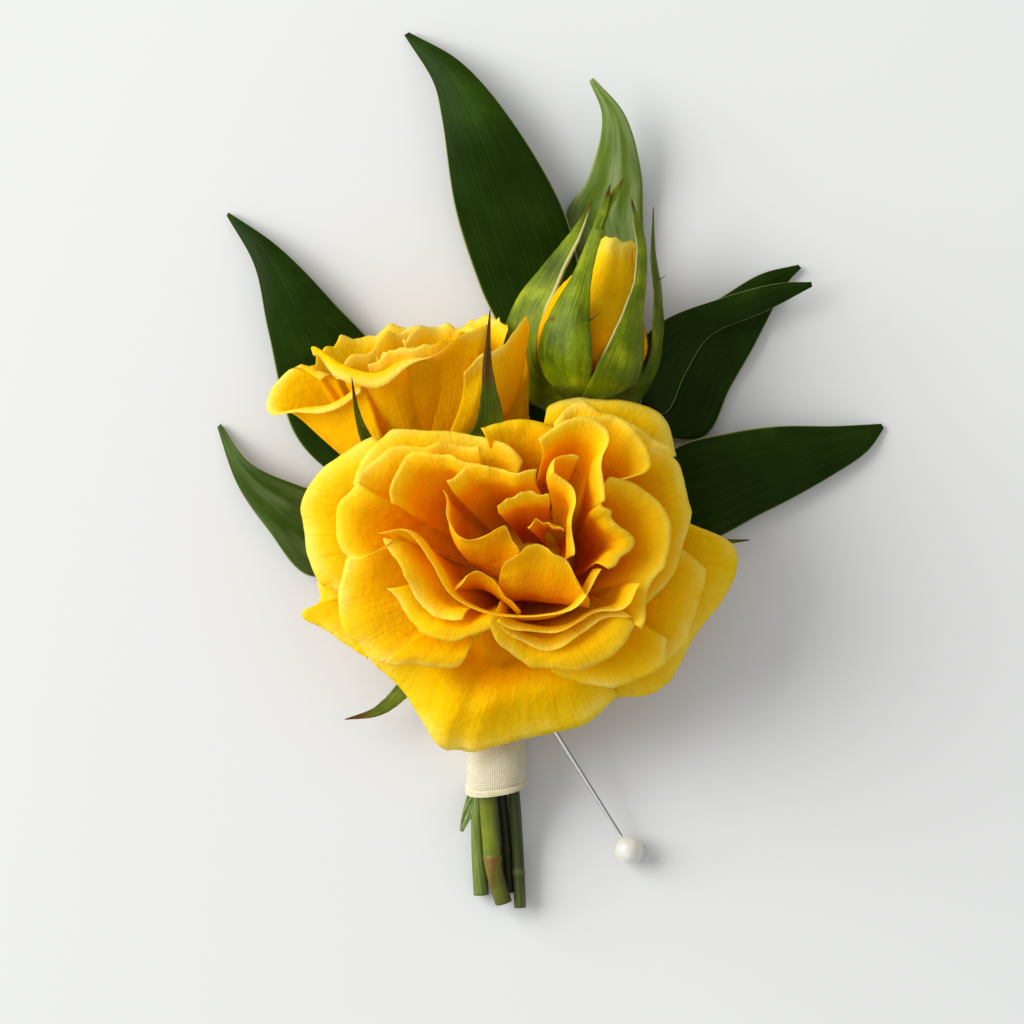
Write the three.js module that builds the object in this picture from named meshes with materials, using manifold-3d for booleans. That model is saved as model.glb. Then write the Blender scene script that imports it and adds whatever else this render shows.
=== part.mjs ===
// A boutonniere lying face up: an open yellow rose, a half-open one and a bud, with leafy sprigs,
// their stems bound with tape and an ivory ribbon, and a pearl-headed pin.
// Millimetres. X runs across the flowers, Y from the cut stems to the leaf tips, Z up from the surface.
// The origin is the centre of the flat back of the ribbon wrap.

import * as THREE from "three";
import { mergeVertices } from "three/addons/utils/BufferGeometryUtils.js";
import Module from "manifold-3d";

const wasm = await Module();
wasm.setup();

// Driving dimensions
const PETAL_THICK = 0.62;
const LEAF_THICK = 0.62;
const SEPAL_THICK = 0.62;
// The clearance between pieces that touch in the hand
const GAP = 0.3;
// The shortest edge and the lowest triangle that a joined piece keeps
const FINEST = { edge: 0.04, height: 0.012 };
// The ribbon: 16 mm wide, wound once round the stems, its back pressed flat and its lower end slanted
const WRAP = { halfWidth: 4.2, halfHeight: 4.4, crown: 0.2, wall: 0.6, low: -8, high: 8 };
const SLANT = { back: 2.6, across: 0.15, up: -0.29 };
// The binding under the ribbon
const TAPE = { wall: 0.6, low: -1, high: 10.3 };
// The pin: the radii of its head and shaft, its length under the head, and the length of its point
const PIN = { head: 2.03, shaft: 0.31, length: 38, point: 2.5 };
// Sides round each kind of round body, and steps along a stem
const SIDES = { flower: 10, flowerStem: 8, leafStem: 6, pin: 8, pinHead: 16, bundle: 28 };
const STEPS = { flowerStem: 14, leafStem: 12, pinHead: 10 };
// The height of the petals' roots above the base of the core that they are sunk into
const ROOT_DEPTH = 0.45;
// A leaf this wide or wider is arched by its whole camber
const FULL_CAMBER_WIDTH = 8;

// Materials
function material(color, roughness, metalness = 0) {
  return new THREE.MeshStandardMaterial({ color, roughness, metalness });
}
const YELLOW = material(0xf6b90c, 0.55);
const SEPAL_GREEN = material(0x6f9a2c, 0.5);
const LEAF_GREEN = material(0x1f4a14, 0.35);
const TAPE_GREEN = material(0x3c5a2a, 0.7);
const IVORY = material(0xeee8d4, 0.8);
const STEEL = material(0xc8cacc, 0.25, 1);
const PEARL = material(0xf1ece2, 0.25);

// Vectors and curves
const vec = (p) => new THREE.Vector3(...p);
const curveThrough = (points) => new THREE.CatmullRomCurve3(points.map(vec), false, "centripetal");
const degrees = THREE.MathUtils.degToRad;

// The value of a list at t, from 0 at its first entry to 1 at its last.
function along(list, t) {
  const place = THREE.MathUtils.clamp(t, 0, 1) * (list.length - 1);
  const i = Math.min(Math.floor(place), list.length - 2);
  return THREE.MathUtils.lerp(list[i], list[i + 1], place - i);
}

// Solids
function solidOf(geometry) {
  const bare = geometry.index ? geometry.toNonIndexed() : geometry.clone();
  bare.deleteAttribute("normal");
  bare.deleteAttribute("uv");
  const merged = mergeVertices(bare, 1e-4);
  const vertProperties = merged.attributes.position.array;
  const triVerts = new Uint32Array(merged.index.array);
  return new wasm.Manifold(new wasm.Mesh({ numProp: 3, vertProperties, triVerts }));
}

// The largest body: a scrap is dropped.
function largest(solid) {
  return solid.decompose().reduce((most, body) => (body.volume() > most.volume() ? body : most));
}

function geometryOf(solid) {
  const { vertProperties, triVerts } = solid.getMesh();
  const geometry = new THREE.BufferGeometry();
  geometry.setAttribute("position", new THREE.BufferAttribute(vertProperties, 3));
  return geometry.setIndex(new THREE.BufferAttribute(triVerts, 1));
}

// The triangles with each edge that is shorter than FINEST.edge closed up.
function withoutShortEdges(triangles, at) {
  const moved = new Map();
  const home = (i) => (moved.has(i) ? home(moved.get(i)) : i);
  for (const [a, b, c] of triangles) {
    for (const [from, to] of [[a, b], [b, c], [c, a]]) {
      const short = at(from).distanceTo(at(to)) < FINEST.edge;
      if (short && home(from) !== home(to)) moved.set(home(from), home(to));
    }
  }
  const kept = triangles.map((corners) => corners.map(home))
    .filter(([a, b, c]) => a !== b && b !== c && c !== a);
  const faces = new Map();
  for (const corners of kept) {
    const key = [...corners].sort((a, b) => a - b).join();
    faces.set(key, (faces.get(key) ?? 0) + 1);
  }
  return kept.filter((corners) => faces.get([...corners].sort((a, b) => a - b).join()) === 1);
}

// The triangles with the longest edge swapped in each one that is lower than FINEST.height.
function withoutSlivers(triangles, at) {
  const byEdge = new Map();
  const enter = (corners, i) => corners.forEach((a, k) => byEdge.set(`${a},${corners[(k + 1) % 3]}`, i));
  triangles.forEach(enter);
  const swapped = [...triangles];
  for (let i = 0; i < swapped.length; i++) {
    const sides = swapped[i].map((a, k) => at(a).distanceTo(at(swapped[i][(k + 1) % 3])));
    const longest = sides.indexOf(Math.max(...sides));
    const [a, b, c] = [0, 1, 2].map((k) => swapped[i][(longest + k) % 3]);
    const height = (2 * new THREE.Triangle(at(a), at(b), at(c)).getArea()) / sides[longest];
    const other = byEdge.get(`${b},${a}`);
    if (height >= FINEST.height || other === undefined) continue;
    const d = swapped[other].find((corner) => corner !== a && corner !== b);
    if (byEdge.has(`${c},${d}`) || byEdge.has(`${d},${c}`)) continue;
    byEdge.delete(`${a},${b}`);
    byEdge.delete(`${b},${a}`);
    swapped[i] = [a, d, c];
    swapped[other] = [d, b, c];
    enter(swapped[i], i);
    enter(swapped[other], other);
  }
  return swapped;
}

// The solid with its finest triangles cleared, because they are too small to hold as faces.
function mended(solid) {
  const { vertProperties, triVerts } = solid.getMesh();
  const at = (i) => new THREE.Vector3().fromArray(vertProperties, 3 * i);
  let triangles = [];
  for (let i = 0; i < triVerts.length; i += 3) triangles.push([...triVerts.subarray(i, i + 3)]);
  triangles = withoutShortEdges(triangles, at);
  triangles = withoutSlivers(triangles, at);
  const geometry = new THREE.BufferGeometry();
  geometry.setAttribute("position", new THREE.BufferAttribute(vertProperties, 3));
  return solidOf(geometry.setIndex(triangles.flat()));
}

function joined(geometries) {
  const union = geometries.map(solidOf).reduce((sum, next) => sum.add(next));
  return largest(mended(largest(union)));
}

function meshOf(name, solid, look) {
  const mesh = new THREE.Mesh(geometryOf(solid), look);
  mesh.name = name;
  return mesh;
}

// A thin blade round the surface at(u, v), split into triangles alike on both faces.
function blade(at, columns, rows, thick) {
  const points = [];
  const nearby = 1e-3;
  for (const side of [1, -1]) {
    for (let j = 0; j <= rows; j++) {
      for (let i = 0; i <= columns; i++) {
        const u = i / columns;
        const v = j / rows;
        const [u0, u1] = [Math.max(u - nearby, 0), Math.min(u + nearby, 1)];
        const [v0, v1] = [Math.max(v - nearby, 0), Math.min(v + nearby, 1)];
        const across = at(u1, v).sub(at(u0, v));
        const up = at(u, v1).sub(at(u, v0));
        const out = across.cross(up).normalize();
        points.push(...at(u, v).addScaledVector(out, (side * thick) / 2).toArray());
      }
    }
  }
  const face = (columns + 1) * (rows + 1);
  const index = (i, j, back) => back * face + j * (columns + 1) + i;
  const triangles = [];
  const quad = (a, b, c, d) => triangles.push(a, b, c, a, c, d);
  for (let j = 0; j < rows; j++) {
    for (let i = 0; i < columns; i++) {
      quad(index(i, j, 0), index(i + 1, j, 0), index(i + 1, j + 1, 0), index(i, j + 1, 0));
      quad(index(i, j, 1), index(i, j + 1, 1), index(i + 1, j + 1, 1), index(i + 1, j, 1));
    }
  }
  for (let i = 0; i < columns; i++) {
    quad(index(i, 0, 1), index(i + 1, 0, 1), index(i + 1, 0, 0), index(i, 0, 0));
    quad(index(i, rows, 0), index(i + 1, rows, 0), index(i + 1, rows, 1), index(i, rows, 1));
  }
  for (let j = 0; j < rows; j++) {
    quad(index(0, j, 0), index(0, j + 1, 0), index(0, j + 1, 1), index(0, j, 1));
    quad(index(columns, j, 1), index(columns, j + 1, 1), index(columns, j + 1, 0), index(columns, j, 0));
  }
  const geometry = new THREE.BufferGeometry();
  geometry.setAttribute("position", new THREE.Float32BufferAttribute(points, 3));
  geometry.setIndex(triangles);
  return geometry;
}

// A petal on a flower's axis. It leaves its root ring at the angle side, on an arc of spread degrees,
// swells by belly at the angle rise above the ring's plane, and reaches its rim at the angle lip:
// 90 stands upright, 0 lies flat outwards, and below 0 it rolls down. roll is the length of that lip.
function petal(flower, shape) {
  const rim = curveThrough(shape.rim);
  const root = flower.root.clone().addScaledVector(flower.axis, shape.height ?? ROOT_DEPTH);
  const at = (u, v) => {
    const turn = degrees(shape.side + (u - 0.5) * shape.spread);
    const out = flower.east.clone().multiplyScalar(Math.cos(turn))
      .addScaledVector(flower.north, Math.sin(turn));
    const lip = degrees(along(shape.lip, u));
    const rise = degrees(shape.rise ?? 45);
    const start = root.clone().addScaledVector(out, shape.ring ?? flower.ring);
    const end = rim.getPointAt(u);
    const swell = start.clone()
      .addScaledVector(out, shape.belly * Math.cos(rise))
      .addScaledVector(flower.axis, shape.belly * Math.sin(rise));
    const turned = end.clone()
      .addScaledVector(out, -shape.roll * Math.cos(lip))
      .addScaledVector(flower.axis, -shape.roll * Math.sin(lip));
    return new THREE.CubicBezierCurve3(start, swell, turned, end).getPoint(v);
  };
  return blade(at, shape.columns ?? 6, shape.rows ?? 4, PETAL_THICK);
}

// A flower's own frame: its axis, and two directions across it.
function flowerFrame(root, axis, ring) {
  const up = vec(axis).normalize();
  const east = new THREE.Vector3(1, 0, 0).addScaledVector(up, -up.x).normalize();
  const north = up.clone().cross(east);
  return { root: vec(root), axis: up, east, north, ring };
}

// A turned body along a flower's axis, from a profile of [radius, height] that starts and ends on the axis.
function turned(flower, profile, sides) {
  const points = profile.map(([radius, height]) => new THREE.Vector2(radius, height));
  const geometry = new THREE.LatheGeometry(points, sides);
  const turn = new THREE.Quaternion().setFromUnitVectors(new THREE.Vector3(0, 1, 0), flower.axis);
  return geometry.applyQuaternion(turn).translate(...flower.root.toArray());
}

// A leaf or sepal between two edges that run from its base to its tip, arched by camber across its width.
function leaf({ left, right, camber, columns = 4, rows = 8 }) {
  const leftEdge = curveThrough(left);
  const rightEdge = curveThrough(right);
  const at = (u, v) => {
    const a = leftEdge.getPointAt(v);
    const b = rightEdge.getPointAt(v);
    const point = a.clone().lerp(b, u);
    point.z += camber * 4 * u * (1 - u) * Math.min(1, a.distanceTo(b) / FULL_CAMBER_WIDTH);
    return point;
  };
  return blade(at, columns, rows, LEAF_THICK);
}

// A sepal along a spine, with its half widths, the way its outer face looks, and the drop of its edges.
function sepal({ spine, half, face, cup = 0, columns = 2, rows = 7 }) {
  const middle = curveThrough(spine);
  const at = (u, v) => {
    const ahead = middle.getTangentAt(v);
    const across = ahead.clone().cross(vec(face)).normalize();
    const out = across.clone().cross(ahead);
    const width = along(half, v);
    const drop = (cup * (2 * u - 1) ** 2 * width) / Math.max(...half);
    return middle.getPointAt(v).addScaledVector(across, (2 * u - 1) * width).addScaledVector(out, -drop);
  };
  return blade(at, columns, rows, SEPAL_THICK);
}

// A round stem through points, with its radii from first to last, cut square at each end.
function stem({ points, radii }, steps, sides) {
  const path = curveThrough(points);
  const frames = path.computeFrenetFrames(steps, false);
  const vertices = [];
  for (let j = 0; j <= steps; j++) {
    const centre = path.getPointAt(j / steps);
    for (let k = 0; k < sides; k++) {
      const turn = (k / sides) * 2 * Math.PI;
      const out = frames.normals[j].clone().multiplyScalar(Math.cos(turn))
        .addScaledVector(frames.binormals[j], Math.sin(turn));
      vertices.push(...centre.clone().addScaledVector(out, along(radii, j / steps)).toArray());
    }
  }
  const triangles = [];
  for (let j = 0; j < steps; j++) {
    for (let k = 0; k < sides; k++) {
      const [here, next] = [j * sides + k, j * sides + ((k + 1) % sides)];
      triangles.push(here, next, next + sides, here, next + sides, here + sides);
    }
  }
  const lastRing = steps * sides;
  const [firstCentre, lastCentre] = [vertices.length / 3, vertices.length / 3 + 1];
  vertices.push(...path.getPointAt(0).toArray(), ...path.getPointAt(1).toArray());
  for (let k = 0; k < sides; k++) {
    const next = (k + 1) % sides;
    triangles.push(firstCentre, next, k);
    triangles.push(lastCentre, lastRing + k, lastRing + next);
  }
  const geometry = new THREE.BufferGeometry();
  geometry.setAttribute("position", new THREE.Float32BufferAttribute(vertices, 3));
  geometry.setIndex(triangles);
  return geometry;
}

// The open rose: it leans back from the stems and faces up.
const OPEN_ROSE = flowerFrame([4.8, 22.5, 11.5], [0, 0.42, 0.91], 2.6);
const OPEN_CORE = [[0, 0], [3.2, 0], [4.9, 2.2], [6.2, 5], [6.2, 8], [4, 11], [0, 12]];
const OPEN_PETALS = [
  // The outer ring, spread flat and rolled under at the rim
  { side: 262, spread: 110, lip: [-40, -60, -40], roll: 11, belly: 8, rise: 35,
    rim: [[-17.8, 10.8, 14], [-10.4, 2.7, 12.5], [-6.7, -1.7, 12], [-3.4, -2.1, 12], [3.1, -0.3, 12.5],
      [12.2, 1.8, 14], [17.4, 5.7, 15]] },
  { side: 330, spread: 75, lip: [-20, -30, -20], roll: 9, belly: 7, rise: 15,
    rim: [[17.1, 5.6, 12.5], [22.4, 6.6, 12], [29.5, 16.7, 12], [34.3, 24.5, 12], [34, 27.2, 12],
      [29.4, 30.2, 13], [26, 32, 13]] },
  { side: 175, spread: 95, lip: [-10, -30, -20], roll: 9, belly: 7, rise: 15,
    rim: [[-16.9, 42.4, 18.6], [-24.8, 37.8, 16.2], [-27.3, 34, 15], [-27.2, 26.6, 14.5], [-25, 22.4, 14.5],
      [-21.7, 20.4, 15]] },
  { side: 208, spread: 34, lip: [-10, -10], roll: 8, belly: 7, rise: 10, columns: 5,
    rim: [[-25.4, 22, 12], [-24.5, 19.6, 12], [-27.2, 17.9, 12], [-25, 15.6, 12.5], [-17.9, 11.6, 13]] },
  { side: 62, spread: 95, lip: [-10, -25, -10], roll: 8, belly: 7, rise: 20,
    rim: [[25.1, 40, 18], [23.5, 45.5, 17], [19.3, 47.5, 17], [9.9, 48, 18], [6.7, 46.9, 18.5],
      [6, 44, 19]] },
  // The second ring
  { side: 335, spread: 55, lip: [0, -20, 0], roll: 8, belly: 7, rise: 30,
    rim: [[22.3, 9.5, 17], [25.6, 12.3, 17], [28.8, 18.8, 17], [29.2, 23.5, 17], [26.6, 26.5, 18]] },
  { side: 305, spread: 45, lip: [-40, -35, -20], roll: 7, belly: 8, rise: 40, columns: 5,
    rim: [[7.8, 9.2, 19.5], [13.6, 7.3, 19], [20.7, 8.5, 19], [23.3, 10.6, 19.5], [24, 14, 20]] },
  { side: 208, spread: 50, lip: [-10, -20, -10], roll: 8, belly: 8, rise: 35,
    rim: [[-20.6, 25.6, 20.5], [-21.7, 21, 19.5], [-21.3, 15.7, 19], [-16.5, 11.1, 18.5], [-13, 12, 19]] },
  { side: 238, spread: 40, lip: [-50, -50], roll: 5, belly: 8, rise: 40, columns: 5,
    rim: [[-15.5, 10.6, 21], [-10.6, 10.2, 21.5], [-4.9, 10.4, 22], [-3.4, 13.4, 23]] },
  { side: 118, spread: 95, lip: [30, 25, 20], roll: 7, belly: 8, rise: 35,
    rim: [[3.4, 38.9, 24.5], [2.2, 40.5, 24], [-0.5, 42.4, 22.5], [-3.5, 43.3, 21.5], [-8.7, 43.6, 21],
      [-13.9, 43.3, 21], [-18.5, 39.8, 21], [-20.4, 36, 21.5]] },
  { side: 82, spread: 40, lip: [-40, -55, -40], roll: 5, belly: 8, rise: 50, columns: 5,
    rim: [[8.4, 44.2, 21], [4.2, 45.2, 20.5], [0.8, 45, 21], [-2.2, 44, 22]] },
  { side: 55, spread: 75, lip: [10, 10], roll: 7, belly: 8, rise: 40,
    rim: [[25.2, 39.8, 22], [20.3, 43.7, 21.5], [15.4, 45.8, 21.5], [12, 47.4, 21], [8.1, 44.5, 22.5]] },
  { side: 5, spread: 80, lip: [10, 0, 10], roll: 6, belly: 9, rise: 35,
    rim: [[20.9, 18.2, 23], [25.2, 24.5, 22], [27.1, 30, 21.5], [26.6, 34.5, 21.5], [25.3, 39, 22],
      [21.6, 40.9, 23]] },
  // The third ring, cupped
  { side: 285, spread: 90, lip: [-20, -45, -30], roll: 6, belly: 9, rise: 45, columns: 5,
    rim: [[-1.1, 16.9, 28], [1.4, 12.7, 25.5], [7, 9.5, 24], [13, 10.2, 24.5], [17.4, 13.2, 25.5],
      [19.5, 16.4, 26]] },
  { side: 222, spread: 60, lip: [-20, -45, -20], roll: 4.5, belly: 9, rise: 50, columns: 5,
    rim: [[-15.1, 21, 26.5], [-10.5, 15.3, 25], [-6.2, 14, 25.5], [-1.1, 16.2, 27.5]] },
  { side: 218, spread: 60, lip: [30, 20, 30], roll: 5, belly: 10, rise: 35, height: 1.5, columns: 5,
    rim: [[-14.8, 28.4, 28.5], [-13.3, 24.9, 28], [-10.5, 19.7, 27], [-8.3, 18.1, 27], [-4.6, 17.4, 28]] },
  { side: 282, spread: 95, lip: [40, 50, 40], roll: 5, belly: 11, rise: 30, height: 1.5, columns: 5,
    rim: [[0, 16.6, 27.5], [3.1, 14.3, 26.2], [7, 13.8, 26], [11.6, 15.7, 26.4], [14.6, 17.4, 27],
      [18.6, 18.4, 27.6]] },
  { side: 280, spread: 95, lip: [60, 70, 60], roll: 5, belly: 11, rise: 32, height: 2.2, columns: 5,
    rim: [[0.6, 18, 28.6], [3.1, 17, 28], [8.4, 16, 27.6], [11.6, 16.7, 27.7], [14.6, 18.3, 28.2],
      [17.9, 19.4, 28.8], [19.4, 22.4, 29.2]] },
  { side: 172, spread: 55, lip: [10, -10, 30], roll: 6, belly: 9, rise: 45, columns: 5,
    rim: [[-19.3, 36, 26.5], [-22.4, 32.5, 25.5], [-22.6, 28.5, 25], [-20.5, 26, 25.5],
      [-14.7, 28.4, 28]] },
  { side: 125, spread: 65, lip: [45, 45], roll: 6, belly: 9, rise: 45, columns: 5,
    rim: [[-2.2, 40.6, 26], [-8, 41.3, 25.5], [-12.3, 41, 25.5], [-17.5, 38.9, 25.5], [-19.5, 35.4, 26]] },
  { side: 40, spread: 60, lip: [35, 30, 35], roll: 6, belly: 9, rise: 45, columns: 5,
    rim: [[17.4, 37.1, 28], [20.9, 38.8, 27], [20.3, 42.1, 26.5], [16.7, 44.7, 26], [12.3, 44.9, 27]] },
  { side: 350, spread: 80, lip: [20, 10, 20], roll: 6, belly: 9, rise: 45, columns: 5,
    rim: [[20.2, 15.7, 26.5], [21.6, 21.1, 26.5], [24.2, 27, 26], [23.1, 31.9, 26.5], [19.6, 34.9, 28],
      [15.8, 36.7, 29]] },
  // The inner cups
  { side: 255, spread: 130, lip: [60, 85, 60], roll: 6, belly: 11, rise: 32, height: 3, columns: 8,
    rim: [[-16.4, 29.3, 29], [-12.2, 29.8, 30.5], [-8.7, 25.3, 30.5], [-5.9, 21, 30], [0.3, 18.6, 29.5],
      [6, 17.9, 29.5], [10.8, 19, 30], [14.6, 24.2, 30.5]] },
  { side: 0, spread: 50, lip: [20, 0, 20], roll: 4.5, belly: 10, rise: 38, height: 3, columns: 5,
    rim: [[15.4, 24.6, 31], [18.9, 27.6, 29.5], [16.8, 31, 30], [14.8, 33.3, 31]] },
  { side: 55, spread: 80, lip: [55, 60, 55], roll: 5, belly: 10, rise: 40, height: 3, columns: 5,
    rim: [[14.8, 33.5, 31], [14.2, 39, 30.5], [14.6, 42.6, 29.5], [11.5, 44.9, 29], [8, 43, 29.5],
      [6.7, 41.6, 30]] },
  { side: 135, spread: 70, lip: [60, 60], roll: 5, belly: 10, rise: 40, height: 3, columns: 5,
    rim: [[-3.2, 37.8, 30], [-7, 39.8, 29], [-11.3, 39.3, 28.5], [-13.9, 36, 28.5], [-14.1, 33.3, 29]] },
  // The heart
  { side: 205, spread: 110, lip: [100, 105, 100],
    roll: 5, belly: 10, rise: 32, height: 5, ring: 2, columns: 5,
    rim: [[-7, 35.1, 30.5], [-6.4, 31.5, 31.5], [-4.5, 29.1, 32], [-1.1, 29.8, 32.5], [1.6, 30.6, 32.5],
      [3.2, 27.6, 32]] },
  { side: 95, spread: 110, lip: [70, 75, 70], roll: 5, belly: 8, rise: 45, height: 5, ring: 2, columns: 5,
    rim: [[5.7, 37.6, 31.5], [1, 37.5, 31], [-3.4, 37.5, 31], [-6.6, 35.9, 31]] },
  { side: 10, spread: 120, lip: [85, 80, 70], roll: 5, belly: 7, rise: 50, height: 5, ring: 2, columns: 5,
    rim: [[9.7, 26.3, 31.5], [10.3, 31, 32], [10.1, 35.3, 32], [7.3, 37.2, 32], [8, 39.6, 31.5],
      [11.5, 39.8, 30.5]] },
  { side: 275, spread: 70, lip: [115, 120, 115],
    roll: 6, belly: 12, rise: 26, height: 5, ring: 2, columns: 5,
    rim: [[1.4, 25.1, 31.5], [4.9, 28.2, 32.5], [7, 28.2, 32.5], [12.3, 21.6, 30.5]] },
  { side: 235, spread: 50, lip: [100, 100], roll: 4, belly: 10, rise: 32, height: 4, ring: 2, columns: 5,
    rim: [[-6, 21.7, 28.5], [-3.5, 23.8, 30], [-0.5, 23.3, 30], [3.4, 19, 28.5]] },
  { side: 80, spread: 90, lip: [95, 95], roll: 4, belly: 4, rise: 60, height: 8, ring: 1, columns: 5,
    rim: [[7.4, 34.2, 32.5], [3.5, 33.7, 33], [0.2, 32.8, 33]] },
  { side: 60, spread: 90, lip: [90, 90], roll: 4, belly: 5, rise: 50, height: 7, ring: 1, columns: 5,
    rim: [[4.3, 30.4, 32.5], [6.6, 31.1, 32.7], [9.6, 30.2, 31.8]] },
];

// The hip under a flower at a size, its top just clear of the petals' root.
const HIP = [[0, -6.6], [1.9, -6], [3.1, -3.8], [3.3, -1.6]];
const HIP_TOP = 2.1;
const hipUnder = (size) => [...HIP.map(([radius, height]) => [radius * size, height * size]),
  [HIP_TOP * size, -GAP], [0, -GAP]];

const OPEN_STEM = { radii: [1.2, 1.25, 1.2, 1.15, 1.15, 1.2, 1.5],
  points: [[1.05, -23.2, 2.6], [-0.2, -15, 3.8], [-1.2, -8, 5.5], [-0.9, -1, 5.7], [-0.9, 10.5, 5.7],
    [1, 14, 5.8],
    [3.4, 17.3, 6.2], [4.8, 19.8, 7.4]] };
const OPEN_SEPALS = [
  { spine: [[3.5, 21.2, 8.6], [-1, 19.6, 8.4], [-6, 15.5, 7.6], [-11.5, 8.6, 6.6], [-16.5, 4, 5.4],
    [-21.3, 2.7, 4.6]],
    half: [2.2, 2.4, 2, 1.4, 0.9, 0.35], face: [0, 0, 1] },
  { spine: [[6, 21.5, 8.4], [12, 23.4, 8.8], [20, 25.8, 8.6], [29, 27.4, 8.2], [35.6, 28, 8.4]],
    half: [2.2, 2.3, 1.6, 0.8, 0.35], face: [0, 0, 1] },
  { spine: [[5, 23, 8.6], [5, 28, 9.2], [4.6, 34, 10.2]], half: [2.2, 2.2, 0.35], face: [0, 0, 1],
    rows: 4 },
  { spine: [[3.6, 22.4, 8.6], [-1.5, 26, 9], [-7.5, 28.6, 9.6]], half: [2.2, 2.2, 0.35], face: [0, 0, 1],
    rows: 4 },
  { spine: [[5.6, 19.6, 7.6], [8.4, 13, 8.6], [11.6, 5, 9.4]], half: [2, 2, 0.35], face: [0, 0, 1],
    rows: 4 },
];

// The side rose: half open, seen from its side, with its axis along the leaves.
const SIDE_ROSE = flowerFrame([-9.2, 35, 6.5], [-0.18, 0.94, 0.22], 2.4);
const SIDE_CORE = [[0, 0], [3, 0], [4.3, 2.2], [5.2, 6], [5, 11], [3, 15], [0, 16]];
const SIDE_PETALS = [
  { side: 262, spread: 120, lip: [-70, -75, -60, 30, 70], roll: 4, belly: 7.5, rise: 62, columns: 8,
    rim: [[-26.7, 52.9, 15], [-23.7, 51.4, 18.5], [-20, 49.6, 20.5], [-16.5, 49.5, 21.5], [-12, 52.2, 21.5],
      [-8.5, 53.8, 21], [-4.1, 57.5, 20], [-1.3, 58.8, 19]] },
  { side: 195, spread: 90, lip: [0, -10, -20, -20], roll: 5, belly: 11, rise: 22,
    rim: [[-24.8, 50.4, 10], [-28.8, 52.2, 8.5], [-31.6, 48.9, 8.5], [-32.6, 45.9, 9.5], [-29.5, 45.1, 13],
      [-25, 46, 15.5], [-19.5, 48.9, 18.5]] },
  { side: 315, spread: 80, lip: [80, 80], roll: 6, belly: 14, rise: 30,
    rim: [[-4.6, 51.4, 19.5], [-1.3, 54.3, 19.5], [1, 56, 18.5], [3.7, 59.4, 16.5], [3.6, 55, 14]] },
  { side: 140, spread: -60, lip: [70, 70], roll: 5, belly: 8, rise: 50, columns: 5,
    rim: [[-26.2, 52.8, 11], [-24, 54.8, 8], [-21, 57.1, 6], [-18.9, 56.6, 5.5], [-16, 56.4, 5.5]] },
  { side: 95, spread: -60, lip: [70, 70], roll: 5, belly: 7, rise: 50, columns: 5,
    rim: [[-18.5, 56, 4.5], [-14.8, 58.2, 3.8], [-11.6, 57.8, 3.6], [-7.6, 57.5, 3.6], [-4.5, 57.8, 4.2]] },
  { side: 50, spread: -60, lip: [70, 70], roll: 5, belly: 8, rise: 50, columns: 5,
    rim: [[-7, 57, 5.5], [-3.6, 58.8, 6], [-1.3, 59.6, 7.5], [1.5, 57.5, 12]] },
  { side: 130, spread: -80, lip: [85, 85], roll: 5, belly: 7, rise: 60, columns: 5,
    rim: [[-22, 53, 13.5], [-18.5, 54.8, 12], [-15, 57, 10.5], [-12, 58, 9], [-9.5, 56.8, 9]] },
  { side: 250, spread: 110, lip: [95, 95], roll: 5, belly: 7, rise: 80, columns: 5,
    rim: [[-18, 53.5, 17], [-14, 54.5, 18], [-9.5, 55.3, 18], [-5.5, 56.5, 16.5], [-2.5, 57.8, 15]] },
  { side: 60, spread: -100, lip: [90, 90], roll: 5, belly: 6, rise: 60, columns: 5,
    rim: [[-13, 56.2, 12], [-9, 58.2, 9.5], [-4.5, 57.5, 10], [-2, 56.5, 13]] },
];
const SIDE_STEM = { radii: [0.9, 0.85, 0.72, 0.7, 0.75, 1, 1.3],
  points: [[1.9, -21.8, 1], [1.2, -15, 1.5], [0.4, -8, 3], [0, -1, 3.6], [0, 5, 3.6], [-0.1, 11, 3.6],
    [-1.6, 15, 3.8],
    [-5, 23, 4.4], [-8, 29.6, 5.2], [-8.6, 32, 5.8]] };
const SIDE_SEPALS = [
  { spine: [[-8.8, 32, 8.8], [-7.2, 35, 14.9], [-4.6, 40, 18.1], [-2.6, 44, 20], [-1.6, 49.5, 22],
    [-1, 54.5, 22.2], [-0.9, 59.8, 23]], half: [1.6, 2, 2.2, 1.5, 0.6, 0.35], face: [0, 0, 1] },
  { spine: [[-9.6, 32, 8.8], [-12, 35.2, 14.4], [-15.8, 39, 16.1], [-18, 42, 16.9], [-19.3, 45.8, 19.6],
    [-20, 50.6, 23]],
    half: [1.6, 1.6, 1.2, 0.7, 0.35], face: [0, 0, 1] },
  { spine: [[-9.8, 31.6, 6.4], [-14.5, 32.6, 7], [-19, 35, 7.6]], half: [1.5, 1.8, 0.35],
    face: [0, 0, -1], rows: 4 },
  { spine: [[-8.2, 32, 6.4], [-4, 33.6, 7], [0.6, 36.6, 7.6]], half: [1.8, 2, 0.35], face: [0, 0, -1],
    rows: 4 },
];

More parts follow.
